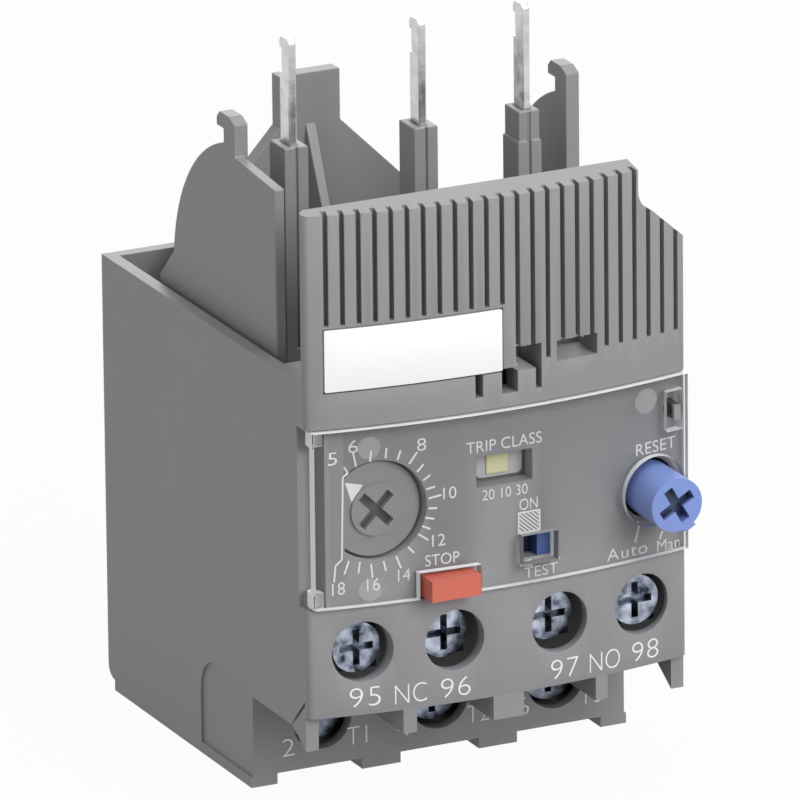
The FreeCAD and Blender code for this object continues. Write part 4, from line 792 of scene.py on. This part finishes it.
def makePointer(s):
    bm = bmesh.new()
    corners = [bm.verts.new((x * mm, s["root"], z * mm)) for x, z in s["corners"]]
    front = extrudeFaces(bm, [bm.faces.new(corners)])
    bmesh.ops.translate(bm, verts=front, vec=(0, -s["thick"], 0))
    bmesh.ops.recalc_face_normals(bm, faces=bm.faces)
    addPiece("dialPointer", bm, "dial", "label_white", inkWhite)


makePointer(dialPointer)

# ring marks that the moulding pins leave on the clear cover
pinMarks = {
    "marks": [(-15.97, 42.65, 1.25), (-16.04, 26.73, 1.25), (16.88, 42.73, 1.4)],  # x, z, radius in mm
    "segments": 40,
    "rim": 0.16 * mm,
    "thick": 0.03 * mm,
    "sunk": 0.02 * mm,
    "rimFrost": 0.4,  # how far the rim and the disc inside it cover what lies behind
    "discFrost": 0.1,
}


def frostMaterial(name, share):
    material = grainMaterial(name, light=(0.8, 0.8, 0.81), dark=(0.7, 0.7, 0.71),
                               roughness=0.5, grain=6000.0, bump=0.05)
    feed(material.node_tree.nodes["Principled BSDF"], {"Alpha": share})
    return material


def makePinMarks(s):
    bm = bmesh.new()
    for x, z, radius in s["marks"]:
        mark = bmesh.new()
        bmesh.ops.create_circle(mark, cap_ends=True, radius=radius * mm, segments=s["segments"])
        middle = next(iter(mark.faces))
        bmesh.ops.inset_region(mark, faces=[middle], thickness=s["rim"], use_even_offset=True)
        middle.material_index = 1
        standUp(mark)
        bmesh.ops.translate(mark, verts=mark.verts, vec=(x * mm, s["sunk"], z * mm))
        front = extrudeFaces(mark, mark.faces[:])
        bmesh.ops.translate(mark, verts=front, vec=(0.0, -s["thick"] - s["sunk"], 0.0))
        bmesh.ops.recalc_face_normals(mark, faces=mark.faces)
        joinInto(bm, mark)
    for vert in bm.verts:
        vert.co.y += bowY(vert.co.x, bowShape["coverOuter"])
    addPiece("coverPinMarks", bm, "cover", "clear_cover",
             frostMaterial("pinRim", s["rimFrost"]), frostMaterial("pinDisc", s["discFrost"]))


makePinMarks(pinMarks)

# pale plate that slides with the class knob, behind the window
classPlate = {
    "width": 5.4 * mm,
    "height": 2.9 * mm,
    "corner": 0.6 * mm,
    "cornerSegments": 5,
    "front": 0.2 * mm,  # behind the knob's face
    "thick": 0.45 * mm,
    "aside": 0.3 * mm,
}
plateGrey = grainMaterial("plateGrey", light=(0.53, 0.53, 0.545), dark=(0.48, 0.48, 0.495),
                            roughness=0.42, grain=8000.0, bump=0.15)


def makeClassPlate(s):
    low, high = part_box("class_slider")
    bm = bmesh.new()
    block = bmesh.ops.create_cube(bm, size=1.0)["verts"]
    bmesh.ops.scale(bm, verts=block, vec=(s["width"], s["thick"], s["height"]))
    corners = [e for e in bm.edges if abs(e.verts[0].co.y - e.verts[1].co.y) > s["thick"] / 2]
    bmesh.ops.bevel(bm, geom=corners, offset=s["corner"], offset_type="OFFSET", affect="EDGES",
                    segments=s["cornerSegments"], profile=0.5, clamp_overlap=True, material=-1)
    place = Vector(((low.x + high.x) / 2 + s["aside"], low.y + s["front"] + s["thick"] / 2,
                    (low.z + high.z) / 2))
    bmesh.ops.translate(bm, verts=bm.verts, vec=place)
    addPiece("classPlate", bm, "class_knob", "dial_grey", plateGrey)


makeClassPlate(classPlate)
print("marks, pointer and plate made")
